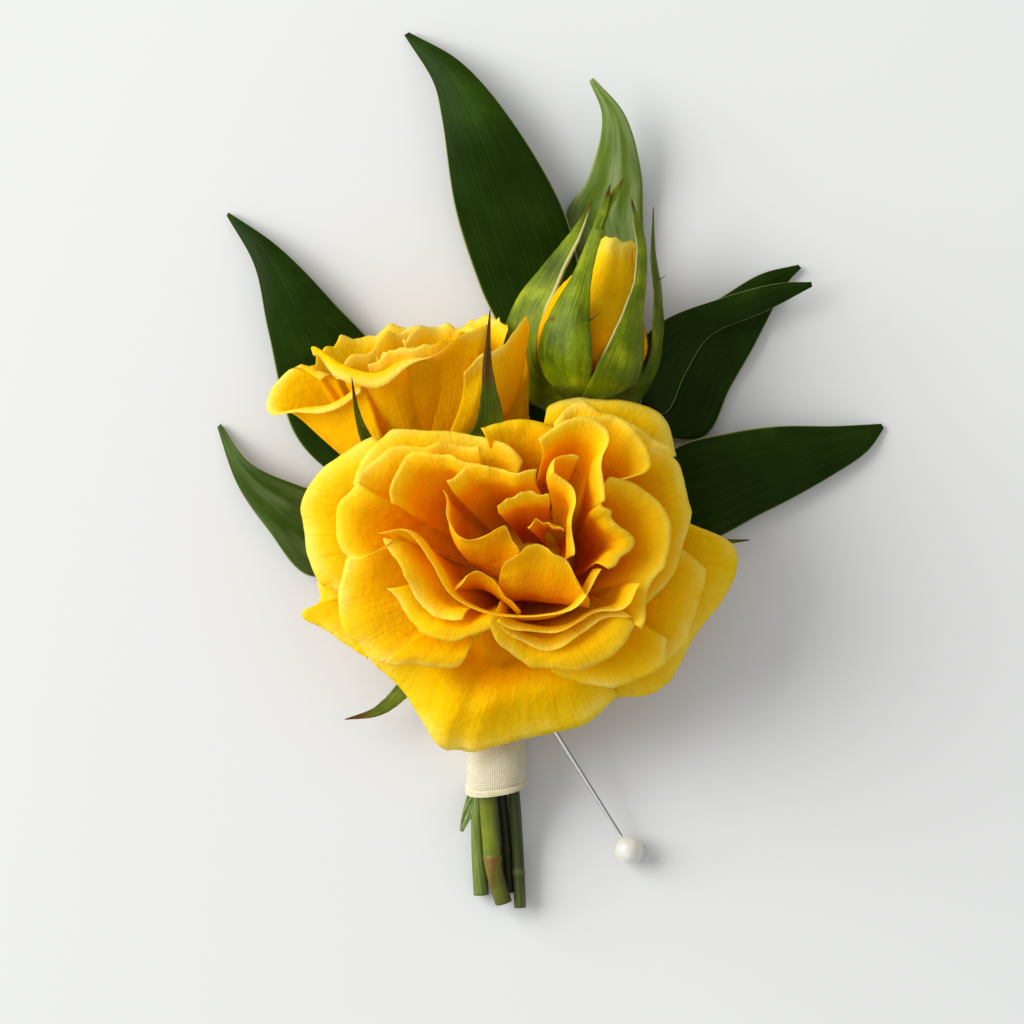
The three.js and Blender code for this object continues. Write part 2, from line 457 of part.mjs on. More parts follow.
// The bud, half wrapped in its sepals.
const BUD = flowerFrame([13.2, 49.6, 11.5], [0.17, 0.98, 0.06], 2.6);
const BUD_CORE = [[0, 0], [3.2, 0], [5.5, 2.5], [6.2, 6], [5.6, 10], [3.8, 14.5], [2, 17.5], [0, 18.5]];
const BUD_PETALS = [
  { side: 262, spread: 150, lip: [100, 100], roll: 9, belly: 6.4, rise: 32,
    rim: [[13.7, 69.2, 12], [14.6, 70, 14], [16.2, 70.2, 15], [18, 69.8, 14.8], [19.4, 69.2, 13]] },
  { side: 140, spread: -160, lip: [100, 100], roll: 9, belly: 6.4, rise: 32,
    rim: [[13.9, 69, 13.4], [13.8, 69.6, 10.4], [15.2, 70.4, 8.6], [17.4, 70.2, 8.4]] },
  { side: 12, spread: 130, lip: [95, 95], roll: 9, belly: 6.4, rise: 32,
    rim: [[17.2, 69.4, 8.8], [19.4, 69.2, 9.6], [20.8, 68.4, 12], [19.6, 69, 14.6]] },
];
const BUD_STEM = { radii: [0.6, 0.6, 0.65, 0.7, 0.9, 1.1, 1.4],
  points: [[1.8, -5, 3.6], [1.75, 0, 3.7], [1.7, 9.4, 3.7], [1.95, 11.5, 3.6], [3.4, 13.8, 3.4],
    [6.5, 17.6, 3.2],
    [9.4, 25, 4.2], [11, 32, 6], [12.2, 40, 8.8], [12.5, 44.6, 10.6]] };
const BUD_SEPALS = [
  { spine: [[11, 46.8, 11], [7.4, 48.2, 10.8], [4.4, 51.4, 10.4], [3.6, 56, 10], [4.6, 60.2, 10],
    [7.3, 64.4, 11],
    [10.6, 69.8, 13], [13.4, 75.2, 15.4]], half: [1.4, 2.6, 3.2, 3.4, 2.6, 1.6, 0.9, 0.35],
    face: [-0.7, 0, 0.7] },
  { spine: [[12.4, 47, 13], [10.2, 49.2, 17.4], [9.2, 53.4, 19.6], [9.9, 58.6, 20.2], [11.6, 63.8, 19.6],
    [13.2, 68.6, 18.8], [15.1, 74.2, 18.8], [16.9, 77.7, 19.4]],
    half: [2.4, 3.6, 4, 3, 1.8, 0.9, 0.6, 0.35],
    face: [-0.42, 0, 0.9], cup: 1.2, columns: 4 },
  { spine: [[14.2, 47, 13], [16.6, 49.2, 17.4], [18.2, 53.6, 19], [19.2, 59, 19.2], [20.2, 64.4, 18],
    [20.3, 69.3, 17], [19.6, 72.5, 16.6], [18.9, 75.6, 16.4]],
    half: [2.4, 3.4, 3.6, 2.4, 1.1, 0.6, 0.5, 0.35],
    face: [0.5, 0, 0.85], cup: 1.2, columns: 4 },
  { spine: [[15.4, 46.8, 11.2], [19.2, 48.4, 11.2], [21.8, 52.2, 11.4], [22.7, 57, 11.8], [22.7, 62, 12],
    [22, 68, 12.6], [22, 74.6, 13.2]], half: [1.4, 2.4, 2.6, 2, 1.2, 0.6, 0.35], face: [1, 0, 0.15] },
  { spine: [[13.2, 46.8, 9], [13.6, 49.6, 4.8], [15, 56, 3.4], [16.6, 62, 3.4], [17.6, 69, 4.6],
    [18, 75.4, 6]],
    half: [2.4, 3.4, 3.6, 2.4, 1, 0.35], face: [0, 0, -1] },
];

// The leafy sprigs: each one stem with its leaves.
const TOP_SPRIG = {
  stems: [
    { radii: [0.65, 0.6, 0.6, 0.7, 0.7, 0.6], points: [[1.5, -5, 2.2], [0.95, -1, 2.4], [0.95, 10.5, 2.4],
      [2, 16, 2.2],
      [3, 28, 2.2], [5, 40, 2.2], [7.4, 50.2, 2.2]] },
    { radii: [0.6, 0.6, 0.5], points: [[4.6, 38, 2.2], [9, 44, 1.8], [13.4, 51, 1.4], [14.6, 56, 1.3]] },
  ],
  leaves: [
    { camber: 0.9,
      left: [[6.9, 49.2, 2.1], [1.3, 56, 2], [-2.2, 63.6, 2.2], [-5.7, 74.5, 3.6], [-7.6, 87.5, 4.4],
        [-8.7, 92.3, 3.8], [-12.9, 99.3, 0.6]],
      right: [[8.3, 49.2, 2.1], [12.2, 58.5, 2.1], [11.5, 67.1, 2.3], [9.5, 74.5, 4], [2.9, 86, 5.6],
        [-4.9, 95.2, 4], [-12.3, 99.6, 0.6]] },
    { camber: 0.5,
      left: [[14.1, 55.1, 1.3], [11.9, 67.2, 0.5], [9.9, 73.9, 0.8], [13, 79.2, 3], [15, 87.6, 5.4],
        [13.2, 92.6, 6.4]],
      right: [[15.1, 55.1, 1.3], [20.2, 62.9, 1.2], [20.7, 75.3, 2.6], [20.4, 80.2, 3.6], [18.1, 87.9, 6],
        [13.7, 93, 6.6]] },
  ],
};
const LEFT_SPRIG = {
  stems: [
    { radii: [1.1, 1, 0.85, 0.72, 0.68, 0.72, 0.7], points: [[-2.1, -22.1, 1.4], [-2.5, -15, 2.4],
      [-2.45, -8, 3.2],
      [-1.6, -1, 3.2], [-1.5, 5, 3.2], [-1.55, 11, 3.2], [-2.6, 13.4, 3], [-5, 16.2, 2.8], [-9, 19.6, 2.6],
      [-18.4, 25.3, 2.6]] },
    { radii: [0.7, 0.7, 0.6], points: [[-7.6, 18.7, 2.7], [-13, 26.5, 2.4], [-19.2, 36.7, 2.2]] },
  ],
  leaves: [
    { camber: 0.8,
      left: [[-19.6, 35.9, 2.2], [-24.4, 38.4, 2.2], [-28.7, 43.4, 2.6], [-32.1, 57.3, 3.6], [-34, 66.6, 3],
        [-38, 73.8, 0.6]],
      right: [[-18.4, 36.3, 2.2], [-15.6, 45.9, 1.4], [-15.8, 52.9, 1], [-23.1, 61.6, 3.4], [-30.9, 69.4, 3],
        [-37.8, 74.2, 0.6]] },
    { camber: 0.8,
      left: [[-17.8, 24.7, 2.6], [-26.5, 23, 2.6], [-32.1, 29.4, 3], [-36.3, 35.6, 2.4],
        [-39.3, 43.9, 0.4]],
      right: [[-17.8, 25.9, 2.6], [-22, 33.9, 3.4], [-27.7, 35.6, 3.8], [-34.6, 38.8, 3.4],
        [-38.9, 44.3, 0.4]] },
    { camber: 0, rows: 4,
      left: [[-2.8, -9.2, 3.4], [-4.2, -10.6, 3.2], [-5, -13, 2.6]],
      right: [[-2.4, -10.2, 3.4], [-3.4, -11.8, 3.2], [-4.7, -13.2, 2.6]] },
  ],
};
const RIGHT_SPRIG = {
  stems: [
    { radii: [0.85, 0.8, 0.75, 0.75, 0.7, 0.6], points: [[3.4, -23.9, 1.9], [3, -15, 2.8], [2.55, -8, 4.65],
      [1.55, -1, 5.6], [1.35, 11.2, 5.5], [3, 13.6, 5.4], [6, 15.4, 5], [11, 19.6, 3.5], [16, 27, 2.8],
      [21, 34.3, 2.6]] },
    { radii: [0.65, 0.65, 0.6], points: [[13, 22.4, 3.1], [16.6, 33, 2.6], [20.6, 44.3, 2]] },
    { radii: [0.65, 0.65, 0.6], points: [[17.4, 35.4, 2.4], [18.4, 42, 3.4], [20.4, 48.9, 4.6]] },
  ],
  leaves: [
    { camber: 0.4,
      left: [[19.8, 43.6, 1.9], [22, 52.9, 1.6], [26, 58.9, 1.4], [31.4, 62, 1.2], [37.4, 65.5, 1],
        [42.7, 66.8, 0.6]],
      right: [[20.6, 43, 1.9], [29.4, 42.6, 1.4], [33, 49.3, 1.2], [36, 54.6, 1.2], [41.3, 64.5, 0.8],
        [43.1, 66.4, 0.6]] },
    { camber: 1,
      left: [[19.7, 47.9, 4.4], [20, 54.9, 5], [23.4, 58.7, 5.4], [31.4, 61.9, 5.6], [39.8, 64.1, 5],
        [44.4, 64.3, 4.4]],
      right: [[20.9, 47.5, 4.4], [23.7, 45.9, 3.4], [26.7, 51.7, 3.6], [30.1, 56.8, 3.8], [37.9, 60.3, 3.8],
        [44.5, 63.8, 4.2]] },
    { camber: 0.9,
      left: [[20.4, 34.7, 2.6], [25.3, 40.9, 3.4], [33, 43.1, 4.2], [39.8, 44, 4], [47.5, 44, 2.8],
        [54.4, 44.3, 0.4]],
      right: [[20.9, 33.7, 2.6], [27, 27.4, 2.2], [37.9, 31.9, 2.2], [47.5, 37.2, 1.8], [52.4, 40.6, 1.2],
        [54.7, 43.8, 0.4]] },
  ],
};

// The stem bundle's section at a size: rounded, and cut flat where it lies at the back.
function bundleSection(halfWidth, halfHeight, flatDrop) {
  const squareness = 2.5;
  const shape = [];
  for (let k = 0; k < SIDES.bundle; k++) {
    const turn = ((k + 0.5) / SIDES.bundle) * 2 * Math.PI;
    const x = halfWidth * Math.sign(Math.cos(turn)) * Math.abs(Math.cos(turn)) ** (2 / squareness);
    const z = halfHeight * Math.sign(Math.sin(turn)) * Math.abs(Math.sin(turn)) ** (2 / squareness);
    shape.push(new THREE.Vector2(x, Math.max(z, -flatDrop) + WRAP.halfHeight));
  }
  return shape;
}

// A sleeve along the stems between two sections. A slant is how far its lower end rises at the middle
// of its back, and by how much that changes with each millimetre across and up.
function sleeve(outer, inner, low, high, slant = { back: 0, across: 0, up: 0 }) {
  const shape = new THREE.Shape(outer);
  shape.holes.push(new THREE.Path(inner));
  const geometry = new THREE.ExtrudeGeometry(shape, { depth: high - low, bevelEnabled: false });
  geometry.rotateX(Math.PI / 2).translate(0, high, 0);
  const place = geometry.attributes.position;
  for (let i = 0; i < place.count; i++) {
    const share = (high - place.getY(i)) / (high - low);
    const rise = slant.back + slant.across * place.getX(i) + slant.up * place.getZ(i);
    place.setY(i, place.getY(i) + rise * share);
  }
  return geometry;
}

// The bundle's section, smaller all round by depth.
function sectionIn(depth) {
  return bundleSection(WRAP.halfWidth - depth, WRAP.halfHeight - depth, WRAP.halfHeight - depth);
}
const wrapOuter = bundleSection(WRAP.halfWidth, WRAP.halfHeight + WRAP.crown, WRAP.halfHeight);
const wrapInner = sectionIn(WRAP.wall);
const tapeOuter = sectionIn(WRAP.wall + GAP);
const tapeInner = sectionIn(WRAP.wall + GAP + TAPE.wall);

// The pin leans on the bundle, from its head on the surface to its point under the open rose.
const PIN_CENTRE = [18.8, -15.8, PIN.head + 0.02];
const PIN_WAY = new THREE.Vector3(-0.52, 0.83, 0.2).normalize();
function pinShaft() {
  const profile = [[0, PIN.head + GAP], [PIN.shaft, PIN.head + GAP], [PIN.shaft, PIN.length - PIN.point],
    [0, PIN.length]];
  return turned({ root: vec(PIN_CENTRE), axis: PIN_WAY }, profile, SIDES.pin);
}
function pinHead() {
  return new THREE.SphereGeometry(PIN.head, SIDES.pinHead, STEPS.pinHead).translate(...PIN_CENTRE);
}

const parts = new THREE.Group();
const flower = (frame, core, petals) =>
  joined([turned(frame, core, SIDES.flower), ...petals.map((shape) => petal(frame, shape))]);
const greens = (frame, hipSize, stalk, sepals) =>
  joined([turned(frame, hipUnder(hipSize), SIDES.flower), stem(stalk, STEPS.flowerStem, SIDES.flowerStem),
    ...sepals.map(sepal)]);
const sprig = ({ stems, leaves }) =>
  joined([...stems.map((stalk) => stem(stalk, STEPS.leafStem, SIDES.leafStem)), ...leaves.map(leaf)]);

parts.add(meshOf("open_rose_petals", flower(OPEN_ROSE, OPEN_CORE, OPEN_PETALS), YELLOW));
parts.add(meshOf("open_rose_stem", greens(OPEN_ROSE, 1, OPEN_STEM, OPEN_SEPALS), SEPAL_GREEN));
parts.add(meshOf("side_rose_petals", flower(SIDE_ROSE, SIDE_CORE, SIDE_PETALS), YELLOW));
parts.add(meshOf("side_rose_stem", greens(SIDE_ROSE, 0.9, SIDE_STEM, SIDE_SEPALS), SEPAL_GREEN));
parts.add(meshOf("bud_petals", flower(BUD, BUD_CORE, BUD_PETALS), YELLOW));
parts.add(meshOf("bud_stem", greens(BUD, 0.95, BUD_STEM, BUD_SEPALS), SEPAL_GREEN));
parts.add(meshOf("top_sprig", sprig(TOP_SPRIG), LEAF_GREEN));
parts.add(meshOf("left_sprig", sprig(LEFT_SPRIG), LEAF_GREEN));
parts.add(meshOf("right_sprig", sprig(RIGHT_SPRIG), LEAF_GREEN));
parts.add(meshOf("ribbon_wrap", joined([sleeve(wrapOuter, wrapInner, WRAP.low, WRAP.high, SLANT)]), IVORY));
parts.add(meshOf("stem_tape", joined([sleeve(tapeOuter, tapeInner, TAPE.low, TAPE.high)]), TAPE_GREEN));
parts.add(meshOf("pin_shaft", joined([pinShaft()]), STEEL));
parts.add(meshOf("pin_head", joined([pinHead()]), PEARL));

export default parts;
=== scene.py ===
import math
import random
from functools import partial

import bmesh
import bpy
from mathutils import Matrix, Vector, noise


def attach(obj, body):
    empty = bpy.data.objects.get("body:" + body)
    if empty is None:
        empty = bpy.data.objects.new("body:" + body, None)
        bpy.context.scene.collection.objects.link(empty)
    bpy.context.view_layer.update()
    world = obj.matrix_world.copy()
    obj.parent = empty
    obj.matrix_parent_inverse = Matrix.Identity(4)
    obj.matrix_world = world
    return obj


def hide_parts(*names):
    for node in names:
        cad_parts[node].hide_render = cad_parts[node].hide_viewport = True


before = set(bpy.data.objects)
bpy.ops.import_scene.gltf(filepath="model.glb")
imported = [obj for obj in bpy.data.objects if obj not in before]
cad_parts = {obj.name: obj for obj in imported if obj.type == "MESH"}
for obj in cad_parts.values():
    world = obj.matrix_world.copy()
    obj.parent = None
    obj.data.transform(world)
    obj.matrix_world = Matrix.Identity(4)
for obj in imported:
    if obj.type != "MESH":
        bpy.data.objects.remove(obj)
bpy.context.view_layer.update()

# Open rose, petals.
# Living petals, thickest at the root and thin as tissue at the rim, grown in a spiral on top of the hip.
# The outer ones lie open with their rims rolled under, and the inner ones still cup the heart.
MM = 0.001
PETAL = dict(thick=0.24 * MM, rim_share=0.15, thinning=3, root_depth=0.45, columns=44, rows=30, warming=1.6)
# The lowest that the middle of a sheet lies, in mm, so that its thickness stays above the floor
LOWEST = 0.21
# Waves, folds and crumples, with their heights in mm and how many fit across and up a petal, and the
# notches and nicks of its rim, with their depths in mm. A step gives each petal its own part of the noise.
RIPPLE = dict(height=0.55, turns=((0.8, 1.6), (2.2, 3.6)), full_spread=80, steepness=5)
FOLD = dict(height=0.6, across=3.4, up=0.9, step=2.9)
CRUMPLE = dict(height=0.14, across=7, up=6, step=1.7)
NOTCH = dict(depth=0.45, level=0.5, sharpness=3, across=4, step=3.1, layer=0.5)
NICK = dict(depth=0.12, across=19, step=2.3, layer=7.5)
OPEN_RIM = dict(start=0.84, curl=0.6, ridge=0.2, reach=0.08)
PLEAT = dict(depth=1.3, reach=0.03, steepness=4)
# The hollow of a troughed petal is painted a deeper orange, as painted shade.
TROUGH = dict(place=0.56, depth=2.4, crest=0.74, height=1.0, reach=0.08, warmth_and_shade=0.5)
OPEN_CORE = [(0, 0), (3.2, 0), (4.9, 2.2), (6.2, 5), (6.2, 7), (4, 9), (0, 9.4)]
OPEN_FLOWER = dict(root=(4.8, 22.5, 11.5), axis=(0, 0.42, 0.91), ring=2.6)
# A petal grows at its side of the axis and as wide as its spread. It swells by its belly at the slant rise,
# turns over its lip within its roll, and ends at its rim. Angles are in degrees and lengths in mm.
OPEN_PETALS = [
    # The outer ring, spread flat and rolled under at the rim
    dict(side=262, spread=110, lip=[-40, -60, -40], roll=11, belly=8, rise=35, pleat=0.42, trough=1, rim=[
        (-17.8, 10.8, 14), (-10.4, 2.7, 12.5), (-6.7, -1.7, 12), (-3.4, -2.1, 12), (3.1, -0.3, 12.5),
        (12.2, 1.8, 14), (17.4, 5.7, 15)]),
    dict(side=330, spread=75, lip=[-20, -30, -20], roll=9, belly=7, rise=15, rim=[
        (17.1, 5.6, 12.5), (22.4, 6.6, 12), (29.5, 16.7, 12), (34.3, 24.5, 12), (34, 27.2, 12),
        (29.4, 30.2, 13), (26, 32, 13)]),
    dict(side=175, spread=95, lip=[-10, -30, -20], roll=9, belly=7, rise=15, rim=[
        (-16.9, 42.4, 18.6), (-24.8, 37.8, 16.2), (-27.3, 34, 15), (-27.2, 26.6, 14.5), (-25, 22.4, 14.5),
        (-21.7, 20.4, 15)]),
    dict(side=208, spread=34, lip=[-10], roll=8, belly=7, rise=10, rim=[
        (-25.4, 22, 12), (-24.5, 19.6, 12), (-27.2, 17.9, 12), (-25, 15.6, 12.5), (-17.9, 11.6, 13)]),
    dict(side=62, spread=95, lip=[-10, -25, -10], roll=8, belly=7, rise=20, rim=[
        (25.1, 40, 18), (23.5, 45.5, 17), (19.3, 47.5, 17), (9.9, 48, 18), (6.7, 46.9, 18.5), (6, 44, 19)]),
    # The second ring
    dict(side=335, spread=55, lip=[0, -20, 0], roll=8, belly=7, rise=30, rim=[
        (22.3, 9.5, 17), (25.6, 12.3, 17), (28.8, 18.8, 17), (29.2, 23.5, 17), (26.6, 26.5, 18)]),
    dict(side=305, spread=45, lip=[-40, -35, -20], roll=7, belly=8, rise=40, rim=[
        (7.8, 9.2, 19.5), (13.6, 7.3, 19), (20.7, 8.5, 19), (23.3, 10.6, 19.5), (24, 14, 20)]),
    dict(side=208, spread=50, lip=[-10, -20, -10], roll=8, belly=8, rise=35, rim=[
        (-20.6, 25.6, 20.5), (-21.7, 21, 19.5), (-21.3, 15.7, 19), (-16.5, 11.1, 18.5), (-13, 12, 19)]),
    dict(side=238, spread=40, lip=[-50], roll=5, belly=8, rise=40, rim=[
        (-15.5, 10.6, 21), (-10.6, 10.2, 21.5), (-4.9, 10.4, 22), (-3.4, 13.4, 23)]),
    dict(side=118, spread=95, lip=[30, 25, 20], roll=7, belly=8, rise=35, rim=[
        (3.4, 38.9, 24.5), (2.2, 40.5, 24), (-0.5, 42.4, 22.5), (-3.5, 43.3, 21.5), (-8.7, 43.6, 21),
        (-13.9, 43.3, 21), (-18.5, 39.8, 21), (-20.4, 36, 21.5)]),
    dict(side=82, spread=40, lip=[-40, -55, -40], roll=5, belly=8, rise=50, ragged=0.2, wave=0.15, rim=[
        (8.4, 44.2, 21), (4.2, 45.2, 20.5), (0.8, 45, 21), (-2.2, 44, 22)]),
    dict(side=55, spread=75, lip=[10], roll=7, belly=8, rise=40, rim=[
        (25.2, 39.8, 22), (20.3, 43.7, 21.5), (15.4, 45.8, 21.5), (12, 47.4, 21), (8.1, 44.5, 22.5)]),
    dict(side=5, spread=80, lip=[10, 0, 10], roll=6, belly=9, rise=35, rim=[
        (20.9, 18.2, 23), (25.2, 24.5, 22), (27.1, 30, 21.5), (26.6, 34.5, 21.5), (25.3, 39, 22),
        (21.6, 40.9, 23)]),
    # The third ring, cupped
    dict(side=285, spread=90, lip=[-20, -45, -30], roll=6, belly=9, rise=45, rim=[
        (-1.1, 16.9, 28), (1.4, 12.7, 25.5), (7, 9.5, 24), (13, 10.2, 24.5), (17.4, 13.2, 25.5),
        (19.5, 16.4, 26)]),
    dict(side=222, spread=60, lip=[-20, -45, -20], roll=4.5, belly=9, rise=50, rim=[
        (-15.1, 21, 26.5), (-10.5, 15.3, 25), (-6.2, 14, 25.5), (-1.1, 16.2, 27.5)]),
    dict(side=218, spread=60, lip=[30, 20, 30], roll=5, belly=10, rise=35, height=1.5, rim=[
        (-14.8, 28.4, 28.5), (-13.3, 24.9, 28), (-10.5, 19.7, 27), (-8.3, 18.1, 27), (-4.6, 17.4, 28)]),
    dict(side=282, spread=95, lip=[40, 50, 40], roll=5, belly=11, rise=30, height=1.5, rim=[
        (0, 16.6, 27.5), (3.1, 14.3, 26.2), (7, 13.8, 26), (11.6, 15.7, 26.4), (14.6, 17.4, 27),
        (18.6, 18.4, 27.6)]),
    dict(side=280, spread=95, lip=[60, 70, 60], roll=5, belly=11, rise=32, height=2.2, rim=[
        (0.6, 18, 28.6), (3.1, 17, 28), (8.4, 16, 27.6), (11.6, 16.7, 27.7), (14.6, 18.3, 28.2),
        (17.9, 19.4, 28.8), (19.4, 22.4, 29.2)]),
    dict(side=172, spread=55, lip=[10, -10, 30], roll=6, belly=9, rise=45, rim=[
        (-19.3, 36, 26.5), (-22.4, 32.5, 25.5), (-22.6, 28.5, 25), (-20.5, 26, 25.5), (-14.7, 28.4, 28)]),
    dict(side=125, spread=65, lip=[45], roll=6, belly=9, rise=45, rim=[
        (-2.2, 40.6, 26), (-8, 41.3, 25.5), (-12.3, 41, 25.5), (-17.5, 38.9, 25.5), (-19.5, 35.4, 26)]),
    dict(side=40, spread=60, lip=[35, 30, 35], roll=6, belly=9, rise=45, rim=[
        (17.4, 37.1, 28), (20.9, 38.8, 27), (20.3, 42.1, 26.5), (16.7, 44.7, 26), (12.3, 44.9, 27)]),
    dict(side=350, spread=80, lip=[20, 10, 20], roll=6, belly=9, rise=45, rim=[
        (20.2, 15.7, 26.5), (21.6, 21.1, 26.5), (24.2, 27, 26), (23.1, 31.9, 26.5), (19.6, 34.9, 28),
        (15.8, 36.7, 29)]),
    # The inner cups
    dict(side=255, spread=130, lip=[60, 85, 60], roll=6, belly=11, rise=32, height=3, rim=[
        (-16.4, 29.3, 29), (-12.2, 29.8, 30.5), (-8.7, 25.3, 30.5), (-5.9, 21, 30), (0.3, 18.6, 29.5),
        (6, 17.9, 29.5), (10.8, 19, 30), (14.6, 24.2, 30.5)]),
    dict(side=0, spread=50, lip=[20, 0, 20], roll=4.5, belly=10, rise=38, height=3, rim=[
        (15.4, 24.6, 31), (18.9, 27.6, 29.5), (16.8, 31, 30), (14.8, 33.3, 31)]),
    dict(side=55, spread=80, lip=[55, 60, 55], roll=5, belly=10, rise=40, height=3, rim=[
        (14.8, 33.5, 31), (14.2, 39, 30.5), (14.6, 42.6, 29.5), (11.5, 44.9, 29), (8, 43, 29.5),
        (6.7, 41.6, 30)]),
    dict(side=135, spread=70, lip=[60], roll=5, belly=10, rise=40, height=3, rim=[
        (-3.2, 37.8, 30), (-7, 39.8, 29), (-11.3, 39.3, 28.5), (-13.9, 36, 28.5), (-14.1, 33.3, 29)]),
    # The heart
    dict(side=205, spread=110, lip=[100, 105, 100], roll=5, belly=10, rise=32, height=5, ring=2, rim=[
        (-7, 35.1, 30.5), (-6.4, 31.5, 31.5), (-4.5, 29.1, 32), (-1.1, 29.8, 32.5), (1.6, 30.6, 32.5),
        (3.2, 27.6, 32)]),
    dict(side=95, spread=110, lip=[70, 75, 70], roll=5, belly=8, rise=45, height=5, ring=2, rim=[
        (5.7, 37.6, 31.5), (1, 37.5, 31), (-3.4, 37.5, 31), (-6.6, 35.9, 31)]),
    dict(side=10, spread=120, lip=[85, 80, 70], roll=5, belly=7, rise=50, height=5, ring=2, rim=[
        (9.7, 26.3, 31.5), (10.3, 31, 32), (10.1, 35.3, 32), (7.3, 37.2, 32), (8, 39.6, 31.5),
        (11.5, 39.8, 30.5)]),
    dict(side=275, spread=70, lip=[115, 120, 115], roll=6, belly=12, rise=26, height=5, ring=2, rim=[
        (1.4, 25.1, 31.5), (4.9, 28.2, 32.5), (7, 28.2, 32.5), (12.3, 21.6, 30.5)]),
    dict(side=235, spread=50, lip=[100], roll=4, belly=10, rise=32, height=4, ring=2, rim=[
        (-6, 21.7, 28.5), (-3.5, 23.8, 30), (-0.5, 23.3, 30), (3.4, 19, 28.5)]),
    dict(side=80, spread=90, lip=[95], roll=4, belly=4, rise=60, height=8, ring=1, rim=[
        (7.4, 34.2, 32.5), (3.5, 33.7, 33), (0.2, 32.8, 33)]),
    dict(side=60, spread=90, lip=[90], roll=4, belly=5, rise=50, height=7, ring=1, rim=[
        (4.3, 30.4, 32.5), (6.6, 31.1, 32.7), (9.6, 30.2, 31.8)]),
]


def clamped(value, low=0.0, high=1.0):
    """The value, held between low and high."""
    return min(max(value, low), high)


def bell(place, middle, reach):
    """1 at the middle, falling off smoothly to both sides."""
    return math.exp(-((place - middle) / reach)**2)


def waver(x, y, z):
    """Smooth noise, from -1 to 1."""
    return noise.noise(Vector((x, y, z)))


def smooth_curve(points, steps=16):
    """A curve through the points, as a function from a share of its length, 0 to 1, to a place on it."""
    ends = [Vector(p) for p in points]
    ends = [ends[0] * 2 - ends[1], *ends, ends[-1] * 2 - ends[-2]]
    places = []
    for a, b, c, d in zip(ends, ends[1:], ends[2:], ends[3:]):
        before, here, after = ((q - p).length ** 0.5 for p, q in ((a, b), (b, c), (c, d)))
        leave = ((b - a) / before - (c - a) / (before + here) + (c - b) / here) * here
        arrive = ((c - b) / here - (d - b) / (here + after) + (d - c) / after) * here
        for step in range(steps):
            s = step / steps
            places.append(b * (2 * s**3 - 3 * s**2 + 1) + c * (3 * s**2 - 2 * s**3)
                          + leave * (s**3 - 2 * s**2 + s) + arrive * (s**3 - s**2))
    places.append(ends[-2])
    reach = [0.0]
    for p, q in zip(places, places[1:]):
        reach.append(reach[-1] + (q - p).length)

    def at(share):
        wanted = clamped(share) * reach[-1]
        low, high = 0, len(reach) - 1
        while high - low > 1:
            middle = (low + high) // 2
            low, high = (middle, high) if reach[middle] <= wanted else (low, middle)
        return places[low].lerp(places[high], (wanted - reach[low]) / max(reach[high] - reach[low], 1e-9))

    return at


def along(values, share):
    """The value of a list at a share from 0, its first entry, to 1, its last. One entry holds all along."""
    place = clamped(share) * (len(values) - 1)
    low = max(min(int(place), len(values) - 2), 0)
    high = min(low + 1, len(values) - 1)
    return values[low] + (values[high] - values[low]) * (place - low)


def flower_frame(root, axis, ring, ragged=1.0):
    """A flower's place, the ways along and across its axis, and the radius at which its petals grow."""
    up = Vector(axis).normalized()
    east = (Vector((1, 0, 0)) - up * up.x).normalized()
    return dict(root=Vector(root), axis=up, east=east, north=up.cross(east), ring=ring, ragged=ragged)


def outward(flower, turn):
    """The way out from a flower's axis at a turn round it."""
    return flower["east"] * math.cos(turn) + flower["north"] * math.sin(turn)


def grid_sheet(bm, columns, rows, place, relief=None):
    """A grid whose point (u, v) is moved to place(u, v), in mm, then by relief(u, v) along its normal.
    Gives each point with its v."""
    made = bmesh.ops.create_grid(bm, x_segments=columns, y_segments=rows, size=0.5, calc_uvs=True)
    spots = [(vert, vert.co.x + 0.5, vert.co.y + 0.5) for vert in made["verts"]]
    for vert, u, v in spots:
        vert.co = place(u, v) * MM
    faces = {face for vert, _, _ in spots for face in vert.link_faces}
    for face in faces:
        face.smooth = True
        face.normal_update()
    if relief:
        for vert, _, _ in spots:
            vert.normal_update()
        for vert, u, v in spots:
            vert.co += vert.normal * relief(u, v) * MM
    for vert, _, _ in spots:
        vert.co.z = max(vert.co.z, LOWEST * MM)
    return [(vert, v) for vert, _, v in spots]


def petal_place(flower, shape, seed):
    """The surface of a petal, which swells from its root, turns outwards at its lip and ends at its rim."""
    rim = smooth_curve(shape["rim"])
    root = flower["root"] + flower["axis"] * shape.get("height", PETAL["root_depth"])
    rise = math.radians(shape["rise"])

    def place(u, v):
        out = outward(flower, math.radians(shape["side"] + (u - 0.5) * shape["spread"]))
        lip = math.radians(along(shape["lip"], u))
        start = root + out * shape.get("ring", flower["ring"])
        end = rim(u)
        swell = start + (out * math.cos(rise) + flower["axis"] * math.sin(rise)) * shape["belly"]
        turned = end - (out * math.cos(lip) + flower["axis"] * math.sin(lip)) * shape["roll"]
        dent = abs(waver(u * NOTCH["across"], seed * NOTCH["step"], NOTCH["layer"]))
        nick = waver(u * NICK["across"], seed * NICK["step"], NICK["layer"])
        notch = NOTCH["depth"] * (NOTCH["level"] - NOTCH["sharpness"] * dent) + NICK["depth"] * nick
        end = end + (end - turned).normalized() * notch * shape.get("ragged", flower["ragged"])
        w = 1 - v
        return start * w**3 + swell * 3 * w * w * v + turned * 3 * w * v * v + end * v**3

    return place


